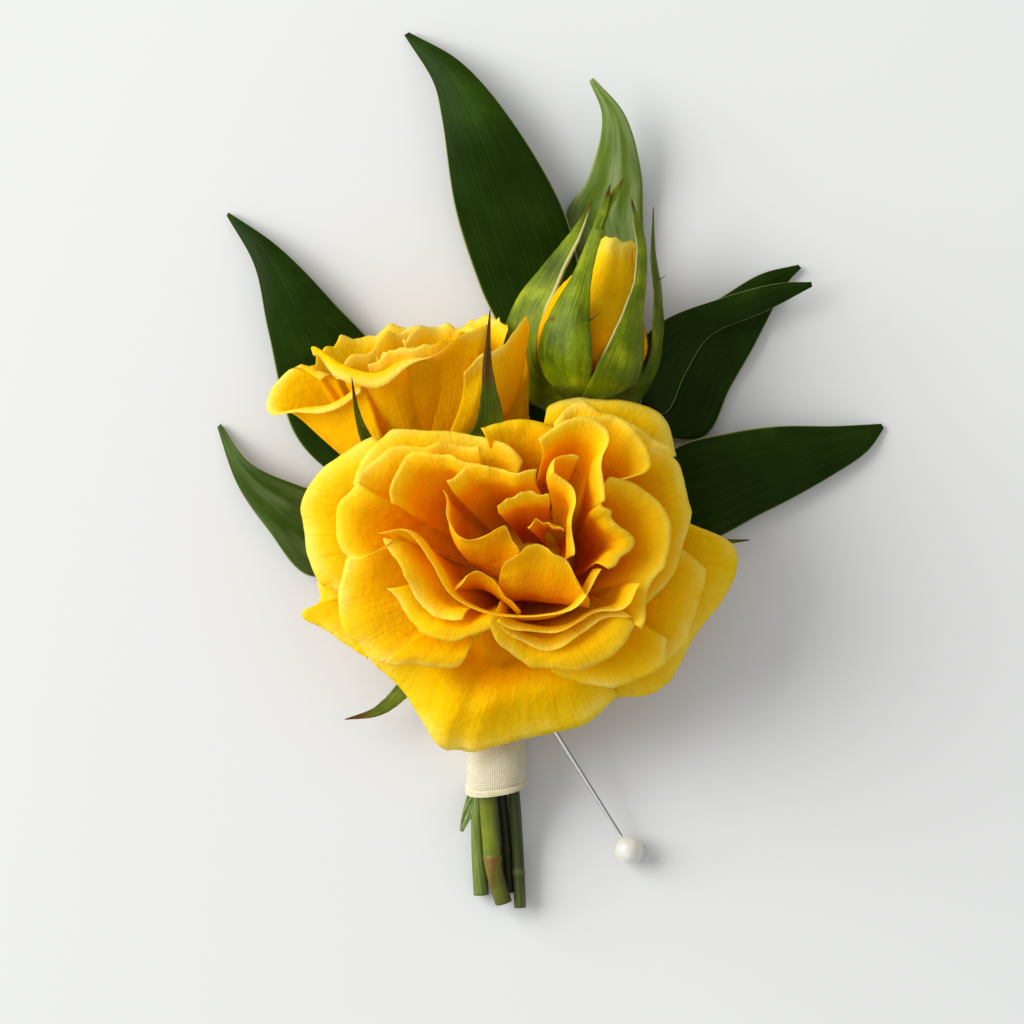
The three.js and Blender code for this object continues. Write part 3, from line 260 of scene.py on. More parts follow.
def petal_relief(shape, seed, rim):
    """The waves of a petal's rim, which curls back, the soft folds up from its root and a faint crumple."""
    draw = random.Random(seed)
    waves = [(draw.uniform(*turns), draw.random()) for turns in RIPPLE["turns"]]
    height = shape.get("wave", RIPPLE["height"])
    back = math.copysign(1, shape["spread"])
    narrow = min(1.0, abs(shape["spread"]) / RIPPLE["full_spread"])

    def relief(u, v):
        rippled = sum(math.sin(math.tau * (turns * u + start)) / turns for turns, start in waves)
        fold = waver(u * FOLD["across"], v * FOLD["up"], seed * FOLD["step"])
        crumple = waver(u * CRUMPLE["across"], v * CRUMPLE["up"], seed * CRUMPLE["step"])
        bend = (rim["curl"] * max(0.0, (v - rim["start"]) / (1 - rim["start"]))**2
                - rim["ridge"] * bell(v, rim["start"], rim["reach"]))
        if "pleat" in shape:
            bend += PLEAT["depth"] * bell(u, shape["pleat"], PLEAT["reach"]) * v**PLEAT["steepness"]
        if "trough" in shape:
            bend += (TROUGH["depth"] * bell(v, TROUGH["place"], TROUGH["reach"])
                     - TROUGH["height"] * bell(v, TROUGH["crest"], TROUGH["reach"])) * shape["trough"]
        return (height * narrow * rippled * v**RIPPLE["steepness"] + FOLD["height"] * narrow * fold * v
                + CRUMPLE["height"] * crumple * v + back * bend)

    return relief


def revolved(bm, flower, profile, columns=24, rows=24):
    """A closed round body along a flower's axis, from its profile of (radius, height)."""
    outline = smooth_curve([(radius, 0, height) for radius, height in profile])

    def place(u, v):
        spot = outline(v)
        return flower["root"] + outward(flower, math.tau * u) * max(spot.x, 0) + flower["axis"] * spot.z

    verts = [vert for vert, _ in grid_sheet(bm, columns, rows, place)]
    bmesh.ops.remove_doubles(bm, verts=verts, dist=1e-6)


def new_mesh():
    """An empty mesh with a layer for texture coordinates."""
    bm = bmesh.new()
    bm.loops.layers.uv.new("UVMap")
    return bm


def finished(bm, name, materials, node):
    """The piece as an object at the origin that rides on the part and stands for its node."""
    mesh = bpy.data.meshes.new(name)
    bm.to_mesh(mesh)
    bm.free()
    for material in materials:
        mesh.materials.append(material)
    piece = bpy.data.objects.new(name, mesh)
    bpy.context.scene.collection.objects.link(piece)
    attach(piece, "root")
    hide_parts(node)
    return piece


def walled(piece, thick, rim_share=1.0, offset=0):
    """Gives a piece made of sheets its thickness, and that share of it at the rims. An offset of 0 puts
    half of it on each side, and one of -1 all of it inside."""
    wall = piece.modifiers.new("thickness", "SOLIDIFY")
    wall.thickness = thick
    wall.offset = offset
    if rim_share < 1:
        piece.vertex_groups.new(name="body")
        wall.vertex_group = "body"
        wall.thickness_vertex_group = rim_share


def petals_of(bm, flower, petals, rim, seed, coolest=0.0, warmest=1.0):
    """All petals of a flower, more orange from the outer ring to the heart, partly as painted shade of the
    cup. The hollow of a troughed petal is painted more orange too, as shade.
    """
    warmth_and_shade = bm.verts.layers.float.new("warmth_and_shade")
    body = bm.verts.layers.deform.verify()
    for number, shape in enumerate(petals):
        own_seed = seed + number
        own_warmth = coolest + (warmest - coolest) * (number / (len(petals) - 1))**PETAL["warming"]
        place = petal_place(flower, shape, own_seed)
        relief = petal_relief(shape, own_seed, rim)
        for vert, v in grid_sheet(bm, PETAL["columns"], PETAL["rows"], place, relief):
            # Painted shade: the hollow of a troughed petal turns more orange.
            in_trough = bell(v, TROUGH["place"], TROUGH["reach"]) * shape.get("trough", 0)
            vert[warmth_and_shade] = own_warmth + TROUGH["warmth_and_shade"] * in_trough
            vert[body][0] = 1 - v**PETAL["thinning"]


def linear(colour):
    """A hex colour as the eye sees it, turned into the linear numbers that a shader takes."""
    parts = [int(colour[i:i + 2], 16) / 255 for i in (1, 3, 5)]
    return (*(c / 12.92 if c <= 0.04045 else ((c + 0.055) / 1.055) ** 2.4 for c in parts), 1.0)


def add_node(tree, kind, *inputs, stops=(), **settings):
    """Adds a node with its settings. Its inputs come in one dict by name, or in the node's own order, as in
    value, from low, from high, to low and to high for a range, and place, scale, detail and roughness for a
    noise. Each is a value, a hex colour, or what to link to it: an output, or a node for its main output."""
    made = tree.nodes.new("ShaderNode" + kind)
    for name, value in settings.items():
        setattr(made, name, value)
    for place, colour in stops:
        ends = made.color_ramp.elements
        stop = ends[0] if place == stops[0][0] else ends[-1] if place == stops[-1][0] else ends.new(place)
        stop.position = place
        stop.color = linear(colour)
    used = [socket for socket in made.inputs if socket.enabled]
    if inputs and isinstance(inputs[0], dict):
        used = [made.inputs[name] for name in inputs[0]]
        inputs = inputs[0].values()
    for socket, value in zip(used, inputs):
        if isinstance(value, bpy.types.Node):
            value = next(output for output in value.outputs if output.enabled)
        if isinstance(value, bpy.types.NodeSocket):
            tree.links.new(value, socket)
        else:
            socket.default_value = linear(value) if isinstance(value, str) else value
    return made


def new_material(name):
    """An empty material, and the function that adds a node to it."""
    made = bpy.data.materials.new(name)
    made.use_nodes = True
    made.node_tree.nodes.clear()
    return made, partial(add_node, made.node_tree)


def rose_petal():
    """Rose petal: golden, with fan veins and a velvet skin. Its orange towards the root and the heart
    is partly its own colour and partly painted shade of the cup. Its thin lemon rim is a painted
    highlight, where the thin rim catches the light. Light that falls on its back glows through it."""
    made, add = new_material("rose_petal")
    uv = add("UVMap", uv_map="UVMap")
    up = add("SeparateXYZ", uv).outputs["Y"]
    warmth_and_shade = add("Attribute", attribute_name="warmth_and_shade").outputs["Fac"]
    # From root to rim: the orange at the root is partly painted shade of the cup.
    cool = add("ValToRGB", up, stops=[
        (0, "#EE7C00"), (0.35, "#FAA800"), (0.6, "#FEC600"), (0.8, "#FFD600"), (1, "#FFE426")])
    warm = add("ValToRGB", up, stops=[
        (0, "#BE3800"), (0.35, "#E66800"), (0.65, "#FBA200"), (0.85, "#FFC800"), (1, "#FFE028")])
    # Below zero, plain yellow takes the place of the orange root and its painted shade.
    plain_yellow_share = add("MapRange", warmth_and_shade, 0, -1)
    yellow = add("Mix", plain_yellow_share, cool, "#FFD402", data_type="RGBA")
    body = add("Mix", warmth_and_shade, yellow, warm, data_type="RGBA")
    place = add("TexCoord").outputs["Object"]
    patches = add("TexNoise", place, 1 / (7 * MM), 3)
    patch = add("MapRange", patches, 0.4, 0.68, 0, 0.45)
    mottled = add("Mix", patch, body, "#FFE220", data_type="RGBA")
    fan = add("Mapping", {"Vector": uv, "Scale": (46, 2.2, 1)})
    veins = add("TexNoise", fan, 1, 4, 0.6)
    vein = add("MapRange", veins, 0.48, 0.72, 0, 0.22)
    veined = add("Mix", vein, mottled, "#F6A400", data_type="RGBA")
    # Painted highlight: a lemon rim where the thin rims catch the light, in patches, strongest on the outer
    # petals.
    rim_highlight_patches = add("MapRange", patches, 0.4, 0.6, 0, 0.75)
    outside = add("MapRange", warmth_and_shade, 0, 1, rim_highlight_patches, 0.25)
    start = add("MapRange", warmth_and_shade, 0, 1, 0.88, 0.965)
    edge = add("MapRange", up, start, 1, 0, outside, interpolation_type="SMOOTHSTEP")
    with_rim_highlight = add("Mix", edge, veined, "#FFF07C", data_type="RGBA")
    skin = add("TexNoise", place, 1 / (0.35 * MM), 2)
    ridges = add("Math", veins, 0.7, operation="MULTIPLY")
    fine = add("Math", skin, 0.25, ridges, operation="MULTIPLY_ADD")
    crinkles = add("TexNoise", place, 1 / (1.6 * MM), 2)
    height = add("Math", crinkles, 1.6, fine, operation="MULTIPLY_ADD")
    bump = add("Bump", {"Height": height, "Strength": 0.8, "Distance": 0.26 * MM})
    front = add("BsdfPrincipled", {
        "Base Color": with_rim_highlight, "Roughness": 0.6, "Specular IOR Level": 0.02, "Normal": bump})
    through = add("BsdfTranslucent", with_rim_highlight, bump)
    both = add("MixShader", 0.45, front, through)
    add("OutputMaterial", both)
    return made


petal_skin = rose_petal()
open_flower = flower_frame(**OPEN_FLOWER)
open_mesh = new_mesh()
petals_of(open_mesh, open_flower, OPEN_PETALS, OPEN_RIM, seed=100)
open_petals = finished(open_mesh, "open_rose_petal_layers", [petal_skin], "open_rose_petals")
walled(open_petals, PETAL["thick"], PETAL["rim_share"])

core_mesh = new_mesh()
core_warmth = core_mesh.verts.layers.float.new("warmth_and_shade")
revolved(core_mesh, open_flower, OPEN_CORE)
# Painted shade: the hidden core takes the deepest orange of the cup.
for vert in core_mesh.verts:
    vert[core_warmth] = 1
finished(core_mesh, "open_rose_heart", [petal_skin], "open_rose_petals")

# Side rose, petals.
# A rose just opening, seen from its side: its petals still stand up round each other in a cup.
# The front ones fold over outwards at the top, and their lips catch the light.
SIDE_CORE = [(0, 0), (3, 0), (4.3, 2.2), (5, 6), (4, 9.5), (2, 12), (0, 12.6)]
SIDE_FLOWER = dict(root=(-9.2, 35, 6.5), axis=(-0.18, 0.94, 0.22), ring=2.4, ragged=1.6)
SIDE_RIM = dict(start=0.75, curl=0.6, ridge=0, reach=0.1)
SIDE_PETALS = [
    dict(side=262, spread=120, lip=[-70, -75, -60, 30, 70], roll=8, belly=7.5, rise=62, rim=[
        (-26.7, 52.9, 15), (-23.7, 51.4, 18.5), (-20, 49.6, 20.5), (-16.5, 49.5, 21.5), (-12, 52.2, 21.5),
        (-8.5, 53.8, 21), (-4.1, 57.5, 20), (-1.3, 58.8, 19)]),
    dict(side=195, spread=90, lip=[0, -10, -25, -40], roll=6, belly=11, rise=22, rim=[
        (-24.8, 50.4, 10), (-28.8, 52.2, 8.5), (-31.6, 48.9, 8.5), (-32.6, 45.9, 9.5), (-29.5, 45.1, 13),
        (-25, 46, 15.5), (-19.5, 48.9, 18.5)]),
    dict(side=315, spread=80, lip=[80], roll=6, belly=14, rise=30, rim=[
        (-4.6, 51.4, 19.5), (-1.3, 54.3, 19.5), (1, 56.2, 18.5), (3.2, 59.2, 17), (4.3, 58.6, 15.4),
        (3.9, 55, 13.6)]),
    dict(side=342, spread=60, lip=[80], roll=6, belly=11, rise=28, rim=[
        (1.5, 56, 14.5), (3.4, 54.6, 12.6), (4.5, 51.4, 11.2), (4.6, 47.6, 10.4), (4.2, 44.6, 9.6)]),
    dict(side=140, spread=-60, lip=[70], roll=5, belly=8, rise=50, rim=[
        (-26.2, 52.8, 11), (-24, 54.8, 8), (-21, 57.1, 6), (-18.9, 56.6, 5.5), (-16, 56.4, 5.5)]),
    dict(side=95, spread=-60, lip=[70], roll=5, belly=7, rise=50, rim=[
        (-18.5, 56, 4.5), (-14.8, 58.2, 3.8), (-11.6, 57.8, 3.6), (-7.6, 57.5, 3.6), (-4.5, 57.8, 4.2)]),
    dict(side=50, spread=-60, lip=[70], roll=5, belly=8, rise=50, rim=[
        (-7, 57, 5.5), (-3.6, 58.8, 6), (-1.3, 59.6, 7.5), (1.5, 57.5, 12)]),
    dict(side=130, spread=-80, lip=[85], roll=5, belly=7, rise=60, rim=[
        (-22, 53, 13.5), (-18.5, 54.8, 12), (-15, 57, 10.5), (-12, 58, 9), (-9.5, 56.8, 9)]),
    dict(side=250, spread=110, lip=[95], roll=5, belly=7, rise=80, rim=[
        (-18, 53.5, 17), (-14, 54.5, 18), (-9.5, 55.3, 18), (-5.5, 56.5, 16.5), (-2.5, 57.8, 15)]),
    dict(side=60, spread=-100, lip=[90], roll=5, belly=6, rise=60, rim=[
        (-13, 56.2, 12), (-9, 58.2, 9.5), (-4.5, 57.5, 10), (-2, 56.5, 13)]),
    dict(side=250, spread=170, lip=[110], roll=4, belly=8, rise=75, ring=1.8, rim=[
        (-16.6, 53.4, 11.4), (-14.8, 54.2, 13.6), (-11.6, 54.8, 13.8), (-9.2, 54.6, 11.6)]),
    dict(side=80, spread=190, lip=[115], roll=4, belly=8, rise=75, ring=1.4, rim=[
        (-9.6, 54.4, 12.4), (-9.8, 54.8, 9.2), (-12.4, 54.6, 7.6), (-15, 54, 8.8), (-15.4, 53.6, 11.4)]),
    dict(side=200, spread=220, lip=[120], roll=3, belly=8, rise=80, ring=1, rim=[
        (-12.2, 53.8, 12.2), (-14.2, 53.4, 11.4), (-13.8, 53.6, 9.6), (-11.8, 53.8, 9.4)]),
]

side_flower = flower_frame(**SIDE_FLOWER)
side_mesh = new_mesh()
petals_of(side_mesh, side_flower, SIDE_PETALS, SIDE_RIM, seed=200, coolest=-0.8, warmest=0.4)
revolved(side_mesh, side_flower, SIDE_CORE)
side_petals = finished(side_mesh, "side_rose_petal_layers", [petal_skin], "side_rose_petals")
walled(side_petals, PETAL["thick"], PETAL["rim_share"])

# Bud, petals.
# A closed bud: its petals are still wound tightly round each other into a column with a ruffled top.
# Only the top and the gaps between the sepals show.
BUD_CORE = [(0, 0), (3.2, 0), (6, 2.5), (7.2, 6.5), (5.4, 10.5), (3.2, 14.5), (1.8, 17), (0, 18)]
BUD_FLOWER = dict(root=(13.2, 49.6, 11.5), axis=(0.17, 0.98, 0.06), ring=2.6)
BUD_RIM = dict(start=0.93, curl=0.3, ridge=0.1, reach=0.04)
BUD_PETALS = [
    dict(side=262, spread=150, lip=[100], roll=9, belly=6.4, rise=32, rim=[
        (13.7, 69.2, 12), (14.6, 70, 14), (16.2, 70.2, 15), (18, 69.8, 14.8), (19.4, 69.2, 13)]),
    dict(side=140, spread=-160, lip=[100], roll=9, belly=6.4, rise=32, rim=[
        (13.9, 69, 13.4), (13.8, 69.6, 10.4), (15.2, 70.4, 8.6), (17.4, 70.2, 8.4)]),
    dict(side=12, spread=130, lip=[95], roll=9, belly=6.4, rise=32, rim=[
        (17.2, 69.4, 8.8), (19.4, 69.2, 9.6), (20.8, 68.4, 12), (19.6, 69, 14.6)]),
]
FLANK = dict(columns=16, rows=30, seed=5, undulation=0.2, thick_share=0.5)
BUD_FLANKS = [
    dict(half=[1.2, 2.2, 2.4, 1.9, 0.8], face=(-0.35, 0, 1), cup=1.5, spine=[
        (10.4, 50, 14), (8, 52, 14.6), (7.6, 56.4, 15), (9.4, 61.4, 15.4), (12.4, 66, 14.6)]),
]
# The edge of a strip: the depth of its teeth in mm, and the half width at which its waves are full
STRIP = dict(tooth=0.12, teeth=40, tooth_edge=3, waves=5, full_width=1.5, probe=0.01)


def strip_place(shape, seed, undulation):
    """A strip along a spine, with its own half widths, cupped to its back, and a little toothed and wavy."""
    spine = smooth_curve(shape["spine"])
    face = Vector(shape.get("face", (0, 0, 1)))
    widest = max(shape["half"])

    def place(u, v):
        ahead = (spine(v + STRIP["probe"]) - spine(v - STRIP["probe"])).normalized()
        across = ahead.cross(face).normalized()
        half = along(shape["half"], v)
        from_middle = 2 * u - 1
        tooth = (STRIP["tooth"] * min(half, 1) * waver(round(u), v * STRIP["teeth"], seed)
                 * abs(from_middle)**STRIP["tooth_edge"])
        drop = shape.get("cup", 0) * from_middle**2 * half / widest
        wave = (undulation * waver(from_middle, v * STRIP["waves"], seed)
                * min(half / STRIP["full_width"], 1))
        return spine(v) + across * from_middle * (half + tooth) + across.cross(ahead) * (wave - drop)

    return place


bud_flower = flower_frame(**BUD_FLOWER)
bud_mesh = new_mesh()
petals_of(bud_mesh, bud_flower, BUD_PETALS, BUD_RIM, seed=300, warmest=0.45)
bud_body = bud_mesh.verts.layers.deform.verify()
for shape in BUD_FLANKS:
    flank = strip_place(shape, FLANK["seed"], FLANK["undulation"])
    for vert, _ in grid_sheet(bud_mesh, FLANK["columns"], FLANK["rows"], flank):
        vert[bud_body][0] = FLANK["thick_share"]
revolved(bud_mesh, bud_flower, BUD_CORE)
bud_petals = finished(bud_mesh, "bud_petal_column", [petal_skin], "bud_petals")
walled(bud_petals, PETAL["thick"], PETAL["rim_share"])

# Flower stalks, hips and sepals.
# Each rose sits on its own green hip, with its sepals round it, on a woody stalk that is cut off square.
# Sepals are soft and a little hairy, with a pale hem and a brown tip. Stalks have rings and leaf scars.
SEPAL = dict(thick=0.4 * MM, tip_share=0.2, thinning=4, columns=16, rows=70, undulation=0.35)
# The brown tip, from a share of the sepal's length on, and the radius of a brown speck in mm
BROWN = dict(start=0.93, fade=0.06, speck=0.5)
# The hem, whose width in mm is held to a share of the half width
FOLDED_HEM = dict(fade=0.15, taper=0.7, narrowest=0.2, share=(0.01, 0.9))
STALK = dict(columns=28, rows=160)
# How steeply a mark's brown fades at its edge
MARK_EDGE = 3
HAIR = dict(root=0.11 * MM, tip=0.02 * MM, sides=5)
HIP = [(0, -6.6), (1.9, -6), (3.1, -3.8), (3.3, -1.6), (2.1, -0.3), (0, -0.3)]
OPEN_STEM = dict(radii=[1.2, 1.25, 1.2, 1.15, 1.15, 1.2, 1.5], shade=[0.6, 0.5, 0.1] + 11 * [0],
    marks=[((0, -16.9, 4.6), (3, 0.3, 3), 0.16), ((-0.75, -17.7, 4.8), (1, 0.8, 1.5), 0.2),
    ((-0.75, -18.9, 4.6), (0.65, 1.1, 1.5), 0.2), ((-0.7, -20.2, 4.2), (0.4, 1.3, 1.5), 0.15)], points=[
    (1.05, -23.2, 2.6), (-0.3, -18.4, 3.5), (-0.7, -14.5, 4.1), (-1.2, -8, 5.5), (-0.9, -1, 5.7),
    (-0.9, 10.5, 5.7), (1, 14, 5.8), (3.4, 17.3, 6.2), (4.8, 19.8, 7.4)])
OPEN_SEPALS = [
    dict(dark=0.3, brown=0.86, half=[2.2, 2.4, 2, 1.4, 0.9, 0.06], spine=[
        (3.5, 21.2, 8.6), (-1, 19.6, 8.4), (-6, 15.5, 7.6), (-11.5, 8.6, 6.6), (-16.5, 4, 5.4),
        (-21.3, 2.7, 4.6)]),
    dict(half=[2.2, 2.3, 1.6, 0.8, 0.06], spine=[
        (6, 21.5, 8.4), (12, 23.4, 8.8), (20, 25.8, 8.6), (29, 27.4, 8.2), (35.6, 28, 8.4)]),
    dict(half=[2.2, 2.2, 0.06], spine=[(5, 23, 8.6), (5, 28, 9.2), (4.6, 34, 10.2)]),
    dict(half=[2.2, 2.2, 0.06], spine=[(3.6, 22.4, 8.6), (-1.5, 26, 9), (-7.5, 28.6, 9.6)]),
    dict(half=[2, 2, 0.06], spine=[(5.6, 19.6, 7.6), (8.4, 13, 8.6), (11.6, 5, 9.4)]),
]
SIDE_STEM = dict(radii=[0.95, 0.95, 0.9, 0.72, 0.75, 1, 1.3], shade=[0.95],
    marks=[((1.2, -16, 2), (3, 0.6, 3), 0.15)], points=[
    (1.9, -21.8, 1), (1.5, -15, 1.5), (0.8, -8, 3), (0, -1, 3.6), (0, 5, 3.6), (-0.1, 11, 3.6),
    (-1.6, 15, 3.8), (-5, 23, 4.4), (-8, 29.6, 5.2), (-8.6, 32, 5.8)])
SIDE_SEPALS = [
    dict(dark=0.6, brown=0.68, half=[1.6, 2.2, 2.4, 2.3, 1.9, 0.95, 0.4, 0.06], face=(0.2, 0, 1), spine=[
        (-8.8, 32, 8.8), (-6.4, 35, 15.4), (-3.2, 40, 19.6), (-0.9, 44, 21.4), (-1, 49, 22.2),
        (-1.2, 52.2, 22), (-1, 57, 22.4), (-0.8, 60, 23)]),
    dict(dark=0.3, brown=0.85, half=[1.6, 1.5, 1.1, 0.8, 0.35, 0.05], spine=[
        (-9.6, 32, 8.8), (-12, 35.2, 14.4), (-15.8, 39, 16.1), (-18, 42, 16.9), (-19.3, 45.8, 19.6),
        (-20, 50.6, 23)]),
    dict(half=[1.5, 1.8, 0.06], face=(0, 0, -1), spine=[
        (-9.8, 31.6, 6.4), (-14.5, 32.6, 7), (-19, 35, 7.6)]),
    dict(half=[1.8, 2, 0.06], face=(0, 0, -1), spine=[(-8.2, 32, 6.4), (-4, 33.6, 7), (0.6, 36.6, 7.6)]),
]
BUD_STEM = dict(radii=[0.6, 0.6, 0.65, 0.7, 0.9, 1.1, 1.4], shade=[0.3], marks=[], points=[
    (1.8, -5, 3.6), (1.75, 0, 3.7), (1.7, 9.4, 3.7), (1.95, 11.5, 3.6), (3.4, 13.8, 3.4), (6.5, 17.6, 3.2),
    (9.4, 25, 4.2), (11, 32, 6), (12.2, 40, 8.8), (12.5, 44.6, 10.6)])
# The dark of the two sepals on the bud's right is painted shade, for they face away from the light.
BUD_SEPALS = [
    dict(hem=0.9, hem_from=0.42, half=[1.4, 2.6, 3.2, 3.4, 2.6, 1.6, 0.9, 0.06],
        face=(-0.7, 0, 0.7), spine=[
        (11, 46.8, 11), (7.4, 48.2, 10.8), (4.4, 51.4, 10.4), (3.6, 56, 10), (4.6, 60.2, 10),
        (7.3, 64.4, 11), (10.6, 69.8, 13), (13.4, 75.2, 15.4)]),
    dict(half=[2.2, 2.4, 2.8, 3.7, 4.1, 3.8, 3.1, 2.4, 1.6, 1.15, 0.9, 0.8, 0.75, 0.6, 0.06],
        specks=[(6.9, 58.5), (8, 58.8)], face=(-0.42, 0, 0.9), cup=1.2, spine=[
        (12.4, 47, 13), (10.2, 49.2, 17.4), (9.2, 53.4, 19.6), (9.9, 58.6, 20.2), (11.6, 63.8, 19.6),
        (13.2, 68.6, 18.8), (15.3, 74.2, 18.8), (17.7, 78.2, 19.4)]),
    dict(half=[0.5, 0.55, 0.4, 0.06], brown=0.7, spine=[
        (14.2, 71.4, 19), (15.2, 74.6, 19.2), (15.9, 77.5, 19.6)]),
    dict(hem=0.3, hem_side=-1, hem_from=0.22, dark=0.15,
        half=[3, 3.7, 3.6, 2.7, 1.7, 0.95, 0.8, 0.65, 0.06], face=(0.5, 0, 0.85), cup=1.2, spine=[
        (14.2, 47, 13), (16.6, 49.2, 17.4), (18.2, 53.6, 19), (19.2, 59, 19.2), (20.2, 64.4, 18),
        (20.3, 69.3, 17), (19.6, 72.5, 16.6), (18.9, 75.6, 16.4)]),
    dict(dark=0.5, half=[1.8, 2.6, 2.6, 2.1, 1.6, 1, 0.55, 0.06], face=(1, 0, 0.32), spine=[
        (15.4, 46.8, 11.2), (19.2, 48.4, 11.2), (21.8, 52.2, 11.4), (22.7, 57, 11.8), (22.7, 62, 12),
        (22, 68, 12.6), (22, 74.6, 13.2)]),
    dict(half=[3, 4.4, 4, 2.4, 1, 0.06], face=(0, 0, -1), spine=[
        (13.8, 46.8, 9), (14.6, 49.6, 4.8), (15.4, 56, 3.4), (16.6, 62, 3.4), (17.6, 68, 4.6)]),
]
HAIRS = [
    ((12.9, 58.4, 20.6), (14.6, 59.8, 21)), ((13.5, 51.2, 18.6), (14.7, 51.8, 19.2)),
    ((22.6, 64.3, 11.8), (23.8, 65, 12.4)),
]


def tube(bm, points, radius, columns, rows, materials=(0, 1), shade=(0,), marks=()):
    """A round stalk through the points. Its radius(v) may swell, and each end is cut off flat. Its shade
    darkens it. Each of its marks, (place, reach, swell), is a brown ring or scar that stands up a little."""
    path = smooth_curve(points)
    centres = [path(row / rows) for row in range(rows + 1)]
    side = Vector((0, 0, 1)).cross(centres[1] - centres[0]).normalized()
    rings = []
    for row, centre in enumerate(centres):
        ahead = (centres[min(row + 1, rows)] - centres[max(row - 1, 0)]).normalized()
        side = (side - ahead * side.dot(ahead)).normalized()
        rings.append((centre, side, ahead.cross(side)))

    def place(u, v):
        centre, right, up = rings[round(v * rows)]
        turn = math.tau * u
        return centre + (right * math.cos(turn) + up * math.sin(turn)) * radius(v)

    darkness = bm.verts.layers.float.get("shade") or bm.verts.layers.float.new("shade")
    brown = bm.verts.layers.float.get("mark") or bm.verts.layers.float.new("mark")
    spots = grid_sheet(bm, columns, rows, place)
    for vert, v in spots:
        vert[darkness] = along(shade, v)
    bmesh.ops.remove_doubles(bm, verts=[vert for vert, _ in spots], dist=1e-7)
    verts = [vert for vert, _ in spots if vert.is_valid]
    for vert in verts:
        for spot, reach, swell in marks:
            away = [(vert.co[axis] / MM - spot[axis]) / reach[axis] for axis in range(3)]
            near = max(0.0, 1 - sum(part * part for part in away))
            vert[brown] = max(vert[brown], min(1.0, near * MARK_EDGE) * (1 - vert[darkness]))
            vert.co += vert.normal * swell * MM * math.sqrt(near)
    for face in {face for vert in verts for face in vert.link_faces}:
        face.material_index = materials[0]
    edges = {edge for vert in verts for edge in vert.link_edges if edge.is_boundary}
    for face in bmesh.ops.holes_fill(bm, edges=list(edges), sides=0)["faces"]:
        face.material_index = materials[1]


def hair(bm, root, tip):
    """A stiff dark hair from its root to its tip."""
    root, tip = Vector(root) * MM, Vector(tip) * MM
    turn = (tip - root).to_track_quat("Z", "Y").to_matrix().to_4x4()
    place = Matrix.Translation((root + tip) / 2) @ turn
    darkness = bm.verts.layers.float["shade"]
    made = bmesh.ops.create_cone(bm, segments=HAIR["sides"], radius1=HAIR["root"], radius2=HAIR["tip"],
                                 depth=(tip - root).length, matrix=place, calc_uvs=True)
    for vert in made["verts"]:
        vert[darkness] = 1


def hem_share(shape, from_middle, v):
    """How far a spot of a sepal lies in its pale hem: 0 up to the hem, and 1 at the sepal's edge."""
    if "hem" not in shape:
        return 0.0
    shown = clamped((v - shape["hem_from"]) / FOLDED_HEM["fade"])
    half = max(along(shape["half"], v), FOLDED_HEM["narrowest"])
    wide = shape["hem"] * math.sin(math.pi * v)**FOLDED_HEM["taper"] / half
    inside = 1 - clamped(wide, *FOLDED_HEM["share"])
    return shown * max(0.0, from_middle * shape.get("hem_side", 1) - inside) / (1 - inside)


def sepal_green():
    """Sepal: soft green with lengthwise veins, a cream hem, a brown tip and a dull waxy skin.
    Its creases between the veins are darkened as painted shade.
    """
    made, add = new_material("rose_sepal")
    uv = add("UVMap", uv_map="UVMap")
    place = add("TexCoord").outputs["Object"]
    patches = add("TexNoise", place, 1 / (5 * MM), 4)
    base = add("ValToRGB", patches, stops=[(0.3, "#465600"), (0.55, "#6E8002"), (0.75, "#A2AE12")])
    strands = add("Mapping", {"Vector": uv, "Scale": (14, 5, 1)})
    veins = add("TexNoise", strands, 1, 3)
    vein = add("MapRange", veins, 0.5, 0.72, 0, 0.25)
    veined = add("Mix", vein, base, "#9CAA2C", data_type="RGBA")
    # Painted shade: darker in the creases between the veins.
    crease = add("MapRange", veins, 0.3, 0.44, 0.45, 0)
    crease_shaded = add("Mix", crease, veined, "#364800", data_type="RGBA")
    edge = add("Attribute", attribute_name="hem").outputs["Fac"]
    hem = add("MapRange", edge, 0.3, 0.6, 0, 0.8)
    hemmed = add("Mix", hem, crease_shaded, "#D2CC90", data_type="RGBA")
    dark = add("Attribute", attribute_name="dark").outputs["Fac"]
    shaded = add("Mix", dark, hemmed, "#26360A", data_type="RGBA")
    tip = add("Attribute", attribute_name="brown").outputs["Fac"]
    tipped = add("Mix", tip, shaded, "#5E4008", data_type="RGBA")
    grain = add("TexNoise", place, 1 / (0.7 * MM), 3)
    height = add("Math", grain, 0.8, veins, operation="MULTIPLY_ADD")
    bump = add("Bump", {"Height": height, "Strength": 0.8, "Distance": 0.2 * MM})
    front = add("BsdfPrincipled", {
        "Base Color": tipped, "Roughness": 0.32, "Specular IOR Level": 0.13, "Normal": bump})
    through = add("BsdfTranslucent", tipped, bump)
    both = add("MixShader", 0.2, front, through)
    add("OutputMaterial", both)
    return made


